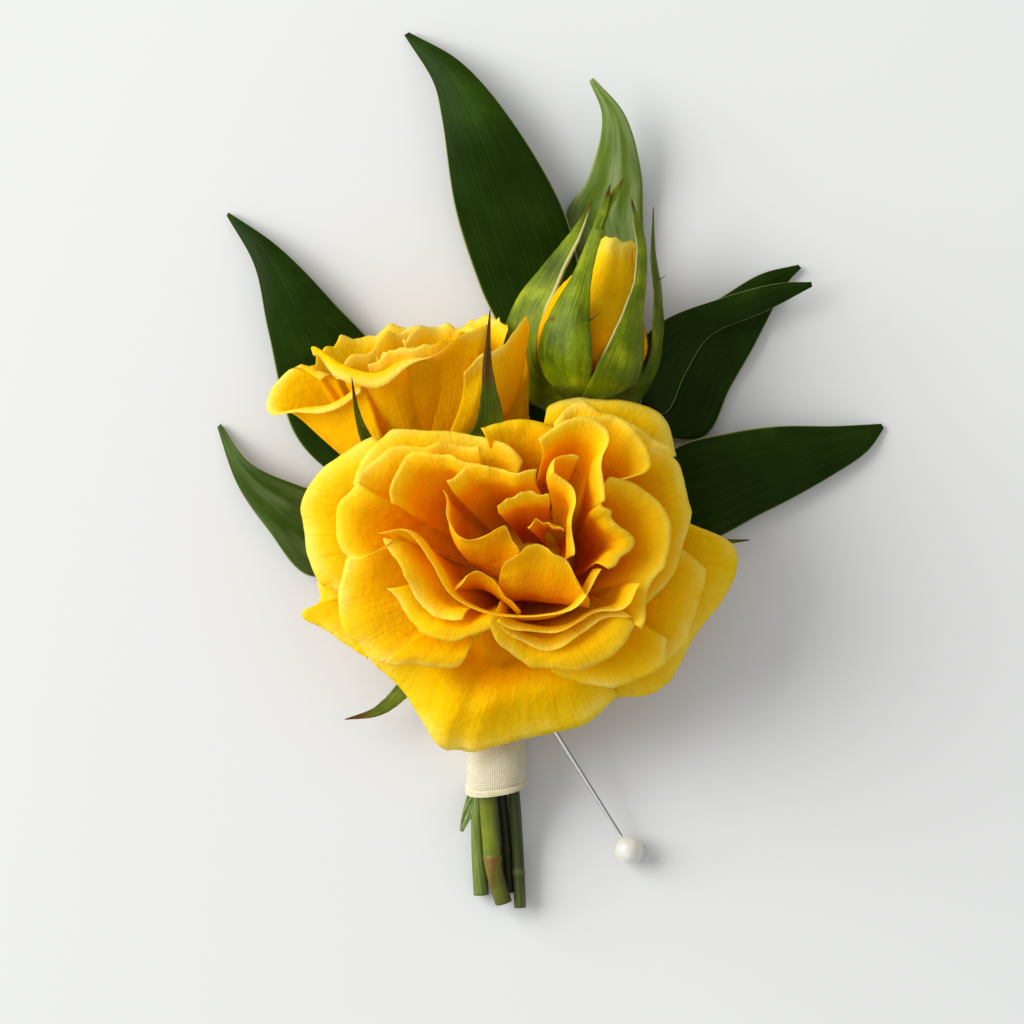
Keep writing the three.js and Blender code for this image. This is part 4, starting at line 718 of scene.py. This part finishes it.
def stalk_bark():
    """Rose stalk: waxy yellow green with fine lengthwise streaks and reddish brown blushes. The side away
    from the light is darkened as painted shade.
    """
    made, add = new_material("rose_stalk")
    place = add("TexCoord").outputs["Object"]
    uv = add("UVMap", uv_map="UVMap")
    blush = add("TexNoise", place, 1 / (6 * MM), 3)
    base = add("ValToRGB", blush, stops=[
        (0.3, "#46560A"), (0.5, "#687212"), (0.62, "#7A7E20"), (0.75, "#74661C")])
    long_grain = add("Mapping", {"Vector": uv, "Scale": (30, 6, 1)})
    streaks = add("TexNoise", long_grain, 1, 4)
    streak = add("MapRange", streaks, 0.45, 0.7, 0, 0.35)
    streaked = add("Mix", streak, base, "#848E36", data_type="RGBA")
    # Painted shade: darker along the side away from the light.
    split = add("SeparateXYZ", uv)
    painted_shade_side = add("ValToRGB", split.outputs["X"], stops=[
        (0, "#404040"), (0.12, "#000000"), (0.28, "#000000"), (0.42, "#D0D0D0"), (0.85, "#D0D0D0"),
        (1, "#404040")])
    side_shaded = add("Mix", painted_shade_side, streaked, "#3A4410", data_type="RGBA")
    shade = add("Attribute", attribute_name="shade").outputs["Fac"]
    shaded = add("Mix", shade, side_shaded, "#141A04", data_type="RGBA")
    mark = add("Attribute", attribute_name="mark").outputs["Fac"]
    marked = add("Mix", mark, shaded, "#6E4A1C", data_type="RGBA")
    bump = add("Bump", {"Height": streaks, "Strength": 0.5, "Distance": 0.1 * MM})
    surface = add("BsdfPrincipled", {
        "Base Color": marked, "Roughness": 0.4, "Specular IOR Level": 0.25, "Normal": bump})
    add("OutputMaterial", surface)
    return made


def stalk_cut():
    """Cut end of a stalk: pale, moist pith with a fibrous grain and a greener ring."""
    made, add = new_material("cut_stalk_pith")
    place = add("TexCoord").outputs["Object"]
    pith = add("TexNoise", place, 1 / (0.5 * MM), 4)
    base = add("ValToRGB", pith, stops=[(0.3, "#8E9A50"), (0.6, "#C9C79A"), (0.8, "#E2DDBC")])
    bump = add("Bump", {"Height": pith, "Strength": 0.6, "Distance": 0.15 * MM})
    surface = add("BsdfPrincipled", {"Base Color": base, "Roughness": 0.6, "Normal": bump})
    add("OutputMaterial", surface)
    return made


greens = [stalk_bark(), stalk_cut(), sepal_green()]
for name, node, flower, size, stalk, sepals, hairs, seed in [
    ("open_rose_stalk_and_sepals", "open_rose_stem", open_flower, 1, OPEN_STEM, OPEN_SEPALS, [], 11),
    ("side_rose_stalk_and_sepals", "side_rose_stem", side_flower, 0.9, SIDE_STEM, SIDE_SEPALS, [], 23),
    ("bud_stalk_and_sepals", "bud_stem", bud_flower, 0.95, BUD_STEM, BUD_SEPALS, HAIRS, 37),
]:
    stalk_mesh = new_mesh()
    tube(stalk_mesh, stalk["points"], lambda v: along(stalk["radii"], v), STALK["columns"], STALK["rows"],
         shade=stalk["shade"], marks=stalk["marks"])
    before = len(stalk_mesh.faces)
    revolved(stalk_mesh, flower, [(radius * size, height * size) for radius, height in HIP])
    stalk_mesh.faces.ensure_lookup_table()
    for face in stalk_mesh.faces[before:]:
        face.material_index = 2
    for root, tip in hairs:
        hair(stalk_mesh, root, tip)
    finished(stalk_mesh, name, greens, node)

    sepal_mesh = new_mesh()
    hem = sepal_mesh.verts.layers.float.new("hem")
    dark = sepal_mesh.verts.layers.float.new("dark")
    brown = sepal_mesh.verts.layers.float.new("brown")
    body = sepal_mesh.verts.layers.deform.verify()
    for number, shape in enumerate(sepals):
        place = strip_place(shape, seed + number, SEPAL["undulation"])
        for spot, (vert, v) in enumerate(grid_sheet(sepal_mesh, SEPAL["columns"], SEPAL["rows"], place)):
            from_middle = 2 * (spot % (SEPAL["columns"] + 1)) / SEPAL["columns"] - 1
            vert[hem] = hem_share(shape, from_middle, v)
            vert[dark] = shape.get("dark", 0.0)
            vert[brown] = clamped((v - shape.get("brown", BROWN["start"])) / BROWN["fade"])
            for x, y in shape.get("specks", []):
                away = math.hypot(vert.co.x / MM - x, vert.co.y / MM - y)
                vert[brown] = max(vert[brown], 1 - (away / BROWN["speck"])**2)
            vert[body][0] = min(1.0, SEPAL["thinning"] * (1 - v))
    sepal_piece = finished(sepal_mesh, name.replace("stalk_and_", ""), greens[2:], node)
    walled(sepal_piece, SEPAL["thick"], SEPAL["tip_share"])

# Greenery sprigs.
# Cut sprigs of an evergreen: a thin round stem, forked once or twice, that carries stiff leathery leaves.
# The leaves are arched across, with a glossy skin, fine lengthwise veins and a thin pale edge.
LEAF = dict(thick=0.4 * MM, columns=18, rows=60, full_camber_width=8, undulation=0.3, across=2.2, up=4)
TWIG = dict(columns=20, rows=150, shade=[0.6])
TOP_SPRIG = dict(stems=[
    dict(radii=[0.65, 0.6, 0.6, 0.7, 0.7, 0.6], points=[
        (1.5, -5, 2.2), (0.95, -1, 2.4), (0.95, 10.5, 2.4), (2, 16, 2.2), (3, 28, 2.2), (5, 40, 2.2),
        (7.4, 50.2, 2.2)]),
    dict(radii=[0.6, 0.6, 0.5], points=[(4.6, 38, 2.2), (9, 44, 1.8), (13.4, 51, 1.4), (14.6, 56, 1.3)]),
], leaves=[
    dict(camber=0.9, left=[
        (2.2, 43, 2.1), (0.4, 50, 2), (1, 56, 2), (-2.2, 63.6, 2.2), (-5.7, 74.5, 3.6), (-7.6, 87.5, 4.4),
        (-8.7, 92.3, 3.8), (-12.9, 99.3, 0.6)], right=[
        (7.4, 42.6, 2.1), (10.4, 50, 2.1), (12.2, 58.5, 2.1), (11.5, 67.1, 2.3), (9.5, 74.5, 4),
        (2.9, 86, 5.6), (-4.9, 95.2, 4), (-12.3, 99.6, 0.6)]),
    dict(camber=0.5, pale=1, left=[
        (14.1, 55.1, 1.3), (11.9, 67.2, 0.5), (9.9, 73.9, 0.8), (13, 79.2, 3), (15, 87.6, 5.4),
        (13.2, 92.6, 6.4)], right=[
        (15.1, 55.1, 1.3), (20.2, 62.9, 1.2), (20.7, 75.3, 2.6), (20.4, 80.2, 3.6), (18.1, 87.9, 6),
        (13.7, 93, 6.6)]),
])
LEFT_SPRIG = dict(stems=[
    dict(radii=[1.1, 1, 0.85, 0.72, 0.68, 0.72, 0.7], shade=[0], points=[
        (-2.1, -22.1, 1.4), (-2.5, -15, 2.4), (-2.45, -8, 3.2), (-1.6, -1, 3.2), (-1.5, 5, 3.2),
        (-1.55, 11, 3.2), (-2.6, 13.4, 3), (-5, 16.2, 2.8), (-9, 19.6, 2.6), (-18.4, 25.3, 2.6)]),
    dict(radii=[0.7, 0.7, 0.6], points=[(-7.6, 18.7, 2.7), (-13, 26.5, 2.4), (-19.2, 36.7, 2.2)]),
], leaves=[
    dict(camber=0.8, left=[
        (-19.6, 35.9, 2.2), (-24.4, 38.4, 2.2), (-28.7, 43.4, 2.6), (-32.1, 57.3, 3.6), (-34, 66.6, 3),
        (-38, 73.8, 0.6)], right=[
        (-18.4, 36.3, 2.2), (-15.6, 45.9, 1.4), (-15.8, 52.9, 1), (-23.1, 61.6, 3.4), (-30.9, 69.4, 3),
        (-37.8, 74.2, 0.6)]),
    # This leaf's paleness is painted sheen.
    dict(camber=0.8, pale=0.22, left=[
        (-17.8, 24.7, 2.6), (-26.5, 23, 2.6), (-32.1, 29.4, 3), (-36.3, 35.6, 2.4),
        (-39.3, 43.9, 0.4)], right=[
        (-17.8, 25.9, 2.6), (-22, 33.9, 3.4), (-27.7, 35.6, 3.8), (-34.6, 38.8, 3.4), (-38.9, 44.3, 0.4)]),
    # The stub's paleness is a painted highlight.
    dict(camber=0.4, pale=2, left=[
        (-3.9, -7.6, 3.6), (-4.7, -10.2, 3.2), (-5.1, -13, 2.6)], right=[
        (-2.7, -7.6, 3.6), (-3.4, -10.8, 3.2), (-4.7, -13.2, 2.6)]),
])
RIGHT_SPRIG = dict(stems=[
    dict(radii=[0.85, 0.8, 0.75, 0.75, 0.7, 0.6], marks=[((3.2, -18.9, 2.4), (3, 0.36, 3), 0.08)],
        shade=[0.45] + 13 * [0.8], points=[
        (3.4, -23.9, 1.9), (3, -15, 2.8), (2.55, -8, 4.65), (1.55, -1, 5.6), (1.35, 11.2, 5.5),
        (3, 13.6, 5.4), (6, 15.4, 5), (11, 19.6, 3.5), (16, 27, 2.8), (21, 34.3, 2.6)]),
    dict(radii=[0.65, 0.65, 0.6], points=[(13, 22.4, 3.1), (16.6, 33, 2.6), (20.6, 44.3, 2)]),
    dict(radii=[0.65, 0.65, 0.6], points=[(17.4, 35.4, 2.4), (18.4, 42, 3.4), (20.4, 48.9, 4.6)]),
], leaves=[
    dict(camber=0.4, left=[
        (19.8, 43.6, 1.9), (22, 52.9, 1.6), (26, 58.9, 1.4), (31.4, 62, 1.2), (37.4, 65.5, 1),
        (42.7, 66.8, 0.6)], right=[
        (20.6, 43, 1.9), (29.4, 42.6, 1.4), (33, 49.3, 1.2), (36, 54.6, 1.2), (41.3, 64.5, 0.8),
        (43.1, 66.4, 0.6)]),
    dict(camber=1, left=[
        (19.7, 47.9, 4.4), (20, 54.9, 5), (23.4, 58.7, 5.4), (31.4, 61.9, 5.6), (39.8, 64.1, 5),
        (44.4, 64.3, 4.4)], right=[
        (20.9, 47.5, 4.4), (23.7, 45.9, 3.4), (26.7, 51.7, 3.6), (30.1, 56.8, 3.8), (37.9, 60.3, 3.8),
        (44.5, 63.8, 4.2)]),
    dict(camber=0.9, left=[
        (20.4, 34.7, 2.6), (25.3, 40.9, 3.4), (33, 43.1, 4.2), (39.8, 44, 4), (47.5, 44, 2.8),
        (54.4, 44.3, 0.4)], right=[
        (20.9, 33.7, 2.6), (27, 27.4, 2.2), (37.9, 31.9, 2.2), (47.5, 37.2, 1.8), (52.4, 40.6, 1.2),
        (54.7, 43.8, 0.4)]),
])


def leaf_place(shape, seed):
    """The surface of one leaf between its two edges, arched across its width and a little wavy."""
    left, right = smooth_curve(shape["left"]), smooth_curve(shape["right"])

    def place(u, v):
        a, b = left(v), right(v)
        width = min(1, (b - a).length / LEAF["full_camber_width"])
        arch = shape["camber"] * 4 * u * (1 - u) * width
        wave = LEAF["undulation"] * waver(u * LEAF["across"], v * LEAF["up"], seed) * width
        return a.lerp(b, u) + Vector((0, 0, arch + wave))

    return place


def leaf_skin():
    """Leathery leaf: dark green and glossy, with close lengthwise veins, a midrib and a pale thin edge.
    The pale leaves are lighter, with drifting silvery patches of painted sheen."""
    made, add = new_material("evergreen_leaf")
    uv = add("UVMap", uv_map="UVMap")
    across = add("SeparateXYZ", uv).outputs["X"]
    place = add("TexCoord").outputs["Object"]
    pale = add("Attribute", attribute_name="pale").outputs["Fac"]
    patches = add("TexNoise", place, 1 / (9 * MM), 4)
    dark = add("ValToRGB", patches, stops=[(0.3, "#122400"), (0.55, "#1A2E02"), (0.75, "#283E06")])
    light = add("ValToRGB", patches, stops=[(0.3, "#465E18"), (0.55, "#566E22"), (0.75, "#6E8640")])
    base = add("Mix", pale, dark, light, data_type="RGBA")
    strands = add("Mapping", {"Vector": uv, "Scale": (40, 1.6, 1)})
    veins = add("TexNoise", strands, 1, 3)
    vein = add("MapRange", veins, 0.5, 0.72, 0, 0.2)
    veined = add("Mix", vein, base, "#36540E", data_type="RGBA")
    # Painted sheen: drifting silvery patches of highlight on the pale leaves.
    drift = add("Mapping", {"Vector": uv, "Scale": (4, 2.5, 1)})
    painted_sheen_noise = add("TexNoise", drift, 1, 6)
    painted_sheen_patch = add("MapRange", painted_sheen_noise, 0.42, 0.66, 0, 0.6)
    share = add("Math", painted_sheen_patch, pale, operation="MULTIPLY", use_clamp=True)
    with_painted_sheen = add("Mix", share, veined, "#9CAA78", data_type="RGBA")
    from_middle = add("Math", across, 0.5, operation="SUBTRACT")
    sideways = add("Math", from_middle, operation="ABSOLUTE")
    edge = add("MapRange", sideways, 0.483, 0.497, 0, 0.8)
    edged = add("Mix", edge, with_painted_sheen, "#A4AC6C", data_type="RGBA")
    midrib = add("MapRange", sideways, 0, 0.03, 1, 0, interpolation_type="SMOOTHSTEP")
    grain = add("TexNoise", place, 1 / (0.25 * MM), 2)
    fine = add("Math", grain, 0.15, veins, operation="MULTIPLY_ADD")
    height = add("Math", midrib, -0.8, fine, operation="MULTIPLY_ADD")
    bump = add("Bump", {"Height": height, "Strength": 0.35, "Distance": 0.12 * MM})
    dull = add("MapRange", patches, 0.35, 0.65, 0.28, 0.48)
    surface = add("BsdfPrincipled", {
        "Base Color": edged, "Roughness": dull, "Specular IOR Level": 0.05, "Normal": bump})
    add("OutputMaterial", surface)
    return made


def twig_bark():
    """Twig: smooth dark green with fine lengthwise streaks."""
    made, add = new_material("evergreen_twig")
    uv = add("UVMap", uv_map="UVMap")
    long_grain = add("Mapping", {"Vector": uv, "Scale": (24, 8, 1)})
    streaks = add("TexNoise", long_grain, 1, 4)
    base = add("ValToRGB", streaks, stops=[(0.3, "#46561A"), (0.5, "#5E6E26"), (0.7, "#828E52")])
    mark = add("Attribute", attribute_name="mark").outputs["Fac"]
    shade = add("Attribute", attribute_name="shade").outputs["Fac"]
    shaded = add("Mix", shade, base, "#121C08", data_type="RGBA")
    marked = add("Mix", mark, shaded, "#7C8858", data_type="RGBA")
    bump = add("Bump", {"Height": streaks, "Strength": 0.25, "Distance": 0.08 * MM})
    surface = add("BsdfPrincipled", {
        "Base Color": marked, "Roughness": 0.42, "Specular IOR Level": 0.25, "Normal": bump})
    add("OutputMaterial", surface)
    return made


leaf_material = leaf_skin()
twig_materials = [twig_bark(), greens[1]]
for node, sprig, seed in [
    ("top_sprig", TOP_SPRIG, 3),
    ("left_sprig", LEFT_SPRIG, 13),
    ("right_sprig", RIGHT_SPRIG, 29),
]:
    leaf_mesh = new_mesh()
    paleness = leaf_mesh.verts.layers.float.new("pale")
    for number, shape in enumerate(sprig["leaves"]):
        spots = grid_sheet(leaf_mesh, LEAF["columns"], LEAF["rows"], leaf_place(shape, seed + number))
        for vert, _ in spots:
            vert[paleness] = shape.get("pale", 0.0)
    leaves = finished(leaf_mesh, node + "_leaves", [leaf_material], node)
    walled(leaves, LEAF["thick"])
    twig_mesh = new_mesh()
    for shape in sprig["stems"]:
        tube(twig_mesh, shape["points"], lambda v: along(shape["radii"], v), TWIG["columns"], TWIG["rows"],
             shade=shape.get("shade", TWIG["shade"]), marks=shape.get("marks", ()))
    finished(twig_mesh, node + "_twigs", twig_materials, node)

# Ribbon wrap.
# Ivory ribbed ribbon, wound tightly over the tape and glued at the back, with its ribs round the stems.
# Its lower edge is folded in to a hem, and slants up from the left to the right.
WRAP = dict(half_width=4.2, half_height=4.6, middle=4.4, squareness=2.5, low=-8, high=8, wall=0.5 * MM,
            columns=140, rows=90, flat=(16 * MM, 28.5 * MM), seam=0.25, ribs=64, warps=130)
SLANT = dict(back=2.6, across=0.15, up=-0.29)
HEM = dict(height=0.8, proud=0.22, squareness=6, crease=0.24, crease_place=1.15, crease_reach=0.12)
SLACK = dict(height=0.05, round=2, up=3)


def bundle_place(half_width, half_height, low, high, slant):
    """A rounded flat-backed sleeve round the stems, at a share of its way round from the back, and along."""
    def place(u, v):
        turn = -math.tau * (u + WRAP["seam"])
        squash = 2 / WRAP["squareness"]
        x = half_width * math.copysign(abs(math.cos(turn)) ** squash, math.cos(turn))
        z = half_height * math.copysign(abs(math.sin(turn)) ** squash, math.sin(turn))
        z = max(z, -WRAP["middle"] + (WRAP["half_width"] - half_width)) + WRAP["middle"]
        rise = slant["back"] + slant["across"] * x + slant["up"] * z
        return Vector((x, low + (high - low) * v + rise * (1 - v), z))

    return place


def wrap_relief(u, v):
    """The folded hem at the ribbon's lower end, the crease above it, and a little slack all over."""
    height = v * (WRAP["high"] - WRAP["low"])
    hem = HEM["proud"] * max(0.0, 1 - (height / HEM["height"])**HEM["squareness"])
    crease = HEM["crease"] * bell(height, HEM["height"] * HEM["crease_place"], HEM["crease_reach"])
    east, north = (way(math.tau * u) * SLACK["round"] for way in (math.cos, math.sin))
    return SLACK["height"] * waver(east, v * SLACK["up"], north) + hem - crease


def ivory_ribbon():
    """Ivory ribbon: soft woven cloth with close ribs round the stems and a faint warp across them."""
    made, add = new_material("ivory_ribbon")
    place = add("TexCoord").outputs["Object"]
    uv = add("UVMap", uv_map="UVMap")
    split = add("SeparateXYZ", uv)
    ribs = add("Math", split.outputs["Y"], math.tau * WRAP["ribs"], operation="MULTIPLY")
    rib = add("Math", ribs, operation="SINE")
    warps = add("Math", split.outputs["X"], math.tau * WRAP["warps"], operation="MULTIPLY")
    warp = add("Math", warps, operation="SINE")
    weave = add("Math", warp, 0.35, rib, operation="MULTIPLY_ADD")
    slubs = add("TexNoise", place, 1 / (2 * MM), 5)
    cloth = add("ValToRGB", slubs, stops=[(0.3, "#E9DEB8"), (0.6, "#F3EACE"), (0.8, "#FCF7E8")])
    shade = add("MapRange", weave, -1.3, 1.3, 0.45, 0)
    woven = add("Mix", shade, cloth, "#A09468", data_type="RGBA")
    bump = add("Bump", {"Height": weave, "Strength": 0.9, "Distance": 0.07 * MM})
    surface = add("BsdfPrincipled", {
        "Base Color": woven, "Roughness": 0.6, "Sheen Weight": 0.2, "Sheen Roughness": 0.4,
        "Specular IOR Level": 0.25, "Normal": bump})
    add("OutputMaterial", surface)
    return made


def sleeve(name, place, relief, size, material, node):
    """A closed sleeve whose wall lies inside its surface."""
    bm = new_mesh()
    verts = [vert for vert, _ in grid_sheet(bm, size["columns"], size["rows"], place, relief)]
    bmesh.ops.remove_doubles(bm, verts=verts, dist=1e-7)
    piece = finished(bm, name, [material], node)
    walled(piece, size["wall"], offset=-1)
    return piece


wrap_surface = bundle_place(WRAP["half_width"], WRAP["half_height"], WRAP["low"], WRAP["high"], SLANT)
wrap = sleeve("ivory_ribbon_wrap", wrap_surface, wrap_relief, WRAP, ivory_ribbon(), "ribbon_wrap")

# Stem tape.
# Green waxed paper tape, stretched and wound round the stems under the ribbon, holds the flowers together.
# Little of it shows, above the ribbon.
TAPE = dict(inset=0.9, low=-1, high=10.3, wall=0.6 * MM, columns=90, rows=60)
NO_SLANT = dict(back=0, across=0, up=0)


def waxed_tape():
    """Floral tape: matt green crepe paper with fine crinkles across and slightly shiny wax."""
    made, add = new_material("green_floral_tape")
    place = add("TexCoord").outputs["Object"]
    stretched = add("Mapping", {"Vector": place, "Scale": (0.35, 1, 0.35)})
    crepe = add("TexNoise", stretched, 1 / (0.4 * MM), 5)
    base = add("ValToRGB", crepe, stops=[(0.3, "#24401A"), (0.55, "#3C5C2A"), (0.75, "#54763C")])
    bump = add("Bump", {"Height": crepe, "Strength": 0.7, "Distance": 0.12 * MM})
    surface = add("BsdfPrincipled", {"Base Color": base, "Roughness": 0.62, "Normal": bump})
    add("OutputMaterial", surface)
    return made


tape_surface = bundle_place(WRAP["half_width"] - TAPE["inset"], WRAP["middle"] - TAPE["inset"], TAPE["low"],
                            TAPE["high"], NO_SLANT)
sleeve("green_stem_tape", tape_surface, None, TAPE, waxed_tape(), "stem_tape")

# Pin.
# A corsage pin: a bright drawn steel shaft with a ground point, and an imitation pearl on its blunt end.
# It leans on the bundle, with its point under the open rose.
PIN = dict(centre=(18.8, -15.8, 2.05), way=(-0.52, 0.83, 0.2), length=38, head=2.03, gap=0.3)
SHAFT = dict(radius=0.31, point=2.5, blunt_share=0.02, columns=24, rows=90)


def pin_steel():
    """Bright drawn steel with faint lengthwise marks, and a painted reflection: a bright line along one
    side of the shaft and a dark line along the other.
    """
    made, add = new_material("drawn_steel")
    uv = add("UVMap", uv_map="UVMap")
    marks = add("Mapping", {"Vector": uv, "Scale": (40, 3, 1)})
    scratches = add("TexNoise", marks, 1, 5)
    rough = add("MapRange", scratches, 0, 1, 0.08, 0.2)
    # Painted reflection: a bright line and a dark line along the shaft, set by the way round it.
    split = add("SeparateXYZ", uv)
    painted_reflection = add("ValToRGB", split.outputs["X"], stops=[
        (0, "#B8B8B4"), (0.08, "#FFFFFF"), (0.27, "#F4F4F0"), (0.34, "#9A9A98"), (0.42, "#30302E"),
        (0.5, "#84847E"), (0.8, "#6E6E6C"), (1, "#B8B8B4")])
    surface = add("BsdfPrincipled", {"Base Color": painted_reflection, "Metallic": 1, "Roughness": rough})
    add("OutputMaterial", surface)
    return made


def pearl():
    """Imitation pearl: creamy white with a soft lustre under a clear coat."""
    made, add = new_material("pearl_lacquer")
    place = add("TexCoord").outputs["Object"]
    clouds = add("TexNoise", place, 1 / (1.5 * MM), 3)
    base = add("ValToRGB", clouds, stops=[(0.3, "#C9C6B8"), (0.6, "#D6D3C8"), (0.8, "#E2DFD6")])
    surface = add("BsdfPrincipled", {
        "Base Color": base, "Roughness": 0.28, "Coat Weight": 0.8, "Coat Roughness": 0.06,
        "Sheen Weight": 0.2})
    add("OutputMaterial", surface)
    return made


pin_way = Vector(PIN["way"]).normalized()
pin_centre = Vector(PIN["centre"])
shaft_start = PIN["head"] + PIN["gap"]
shaft_length = PIN["length"] - shaft_start


def shaft_radius(v):
    """The shaft's radius in mm at a share of its length, tapering over its point."""
    left = shaft_length * (1 - v)
    return SHAFT["radius"] * min(1, left / SHAFT["point"] + SHAFT["blunt_share"])


shaft_mesh = new_mesh()
tube(shaft_mesh, [pin_centre + pin_way * shaft_start, pin_centre + pin_way * PIN["length"]], shaft_radius,
     SHAFT["columns"], SHAFT["rows"], materials=(0, 0))
finished(shaft_mesh, "corsage_pin_shaft", [pin_steel()], "pin_shaft")

head_mesh = new_mesh()
bmesh.ops.create_uvsphere(head_mesh, u_segments=48, v_segments=32, radius=PIN["head"] * MM,
                          matrix=Matrix.Translation(pin_centre * MM), calc_uvs=True)
for face in head_mesh.faces:
    face.smooth = True
finished(head_mesh, "corsage_pin_pearl", [pearl()], "pin_head")

# Floor, light and camera.
# A plain pale floor under soft light from a window at the upper left, seen from straight above.
FLOOR = dict(size=6, drop=0.02 * MM, colour="#D6D7D7")
PHOTO = dict(centre=(2.24 * MM, 31.92 * MM), width=143.36 * MM, height=1.2, plane=12 * MM, sensor=36)
KEY = dict(azimuth=160, elevation=30, distance=1.5, size=1.2, power=34, colour="#FFFFFC")
SKY = dict(colour="#F4F5F5", strength=0.68)

floor_mesh = bmesh.new()
bmesh.ops.create_grid(floor_mesh, x_segments=1, y_segments=1, size=FLOOR["size"] / 2,
                      matrix=Matrix.Translation((0, 0, -FLOOR["drop"])))
floor_data = bpy.data.meshes.new("table_top")
floor_mesh.to_mesh(floor_data)
floor_mesh.free()
table, add = new_material("pale_table")
matt = add("BsdfPrincipled", {
    "Base Color": FLOOR["colour"], "Roughness": 0.85, "Specular IOR Level": 0.2})
add("OutputMaterial", matt)
floor_data.materials.append(table)
floor = bpy.data.objects.new("table_top", floor_data)
bpy.context.scene.collection.objects.link(floor)

key_data = bpy.data.lights.new("window", "AREA")
key_data.shape = "SQUARE"
key_data.size = KEY["size"]
key_data.energy = KEY["power"]
key_data.color = linear(KEY["colour"])[:3]
key = bpy.data.objects.new("window", key_data)
azimuth, elevation = math.radians(KEY["azimuth"]), math.radians(KEY["elevation"])
key_way = Vector((math.cos(azimuth) * math.cos(elevation), math.sin(azimuth) * math.cos(elevation),
                  math.sin(elevation)))
key.location = Vector((*PHOTO["centre"], 0)) + key_way * KEY["distance"]
key.rotation_euler = key_way.to_track_quat("Z", "Y").to_euler()
bpy.context.scene.collection.objects.link(key)

world = bpy.data.worlds.new("room")
world.use_nodes = True
world.node_tree.nodes.clear()
room = add_node(world.node_tree, "Background", SKY["colour"], SKY["strength"])
add_node(world.node_tree, "OutputWorld", room)
bpy.context.scene.world = world
bpy.context.scene.view_settings.view_transform = "Standard"

camera_data = bpy.data.cameras.new("camera")
camera_data.sensor_width = PHOTO["sensor"]
camera_data.lens = PHOTO["sensor"] * PHOTO["height"] / PHOTO["width"]
camera_data.clip_start = 0.01
camera = bpy.data.objects.new("camera", camera_data)
camera.location = (*PHOTO["centre"], PHOTO["height"] + PHOTO["plane"])
bpy.context.scene.collection.objects.link(camera)
bpy.context.scene.camera = camera
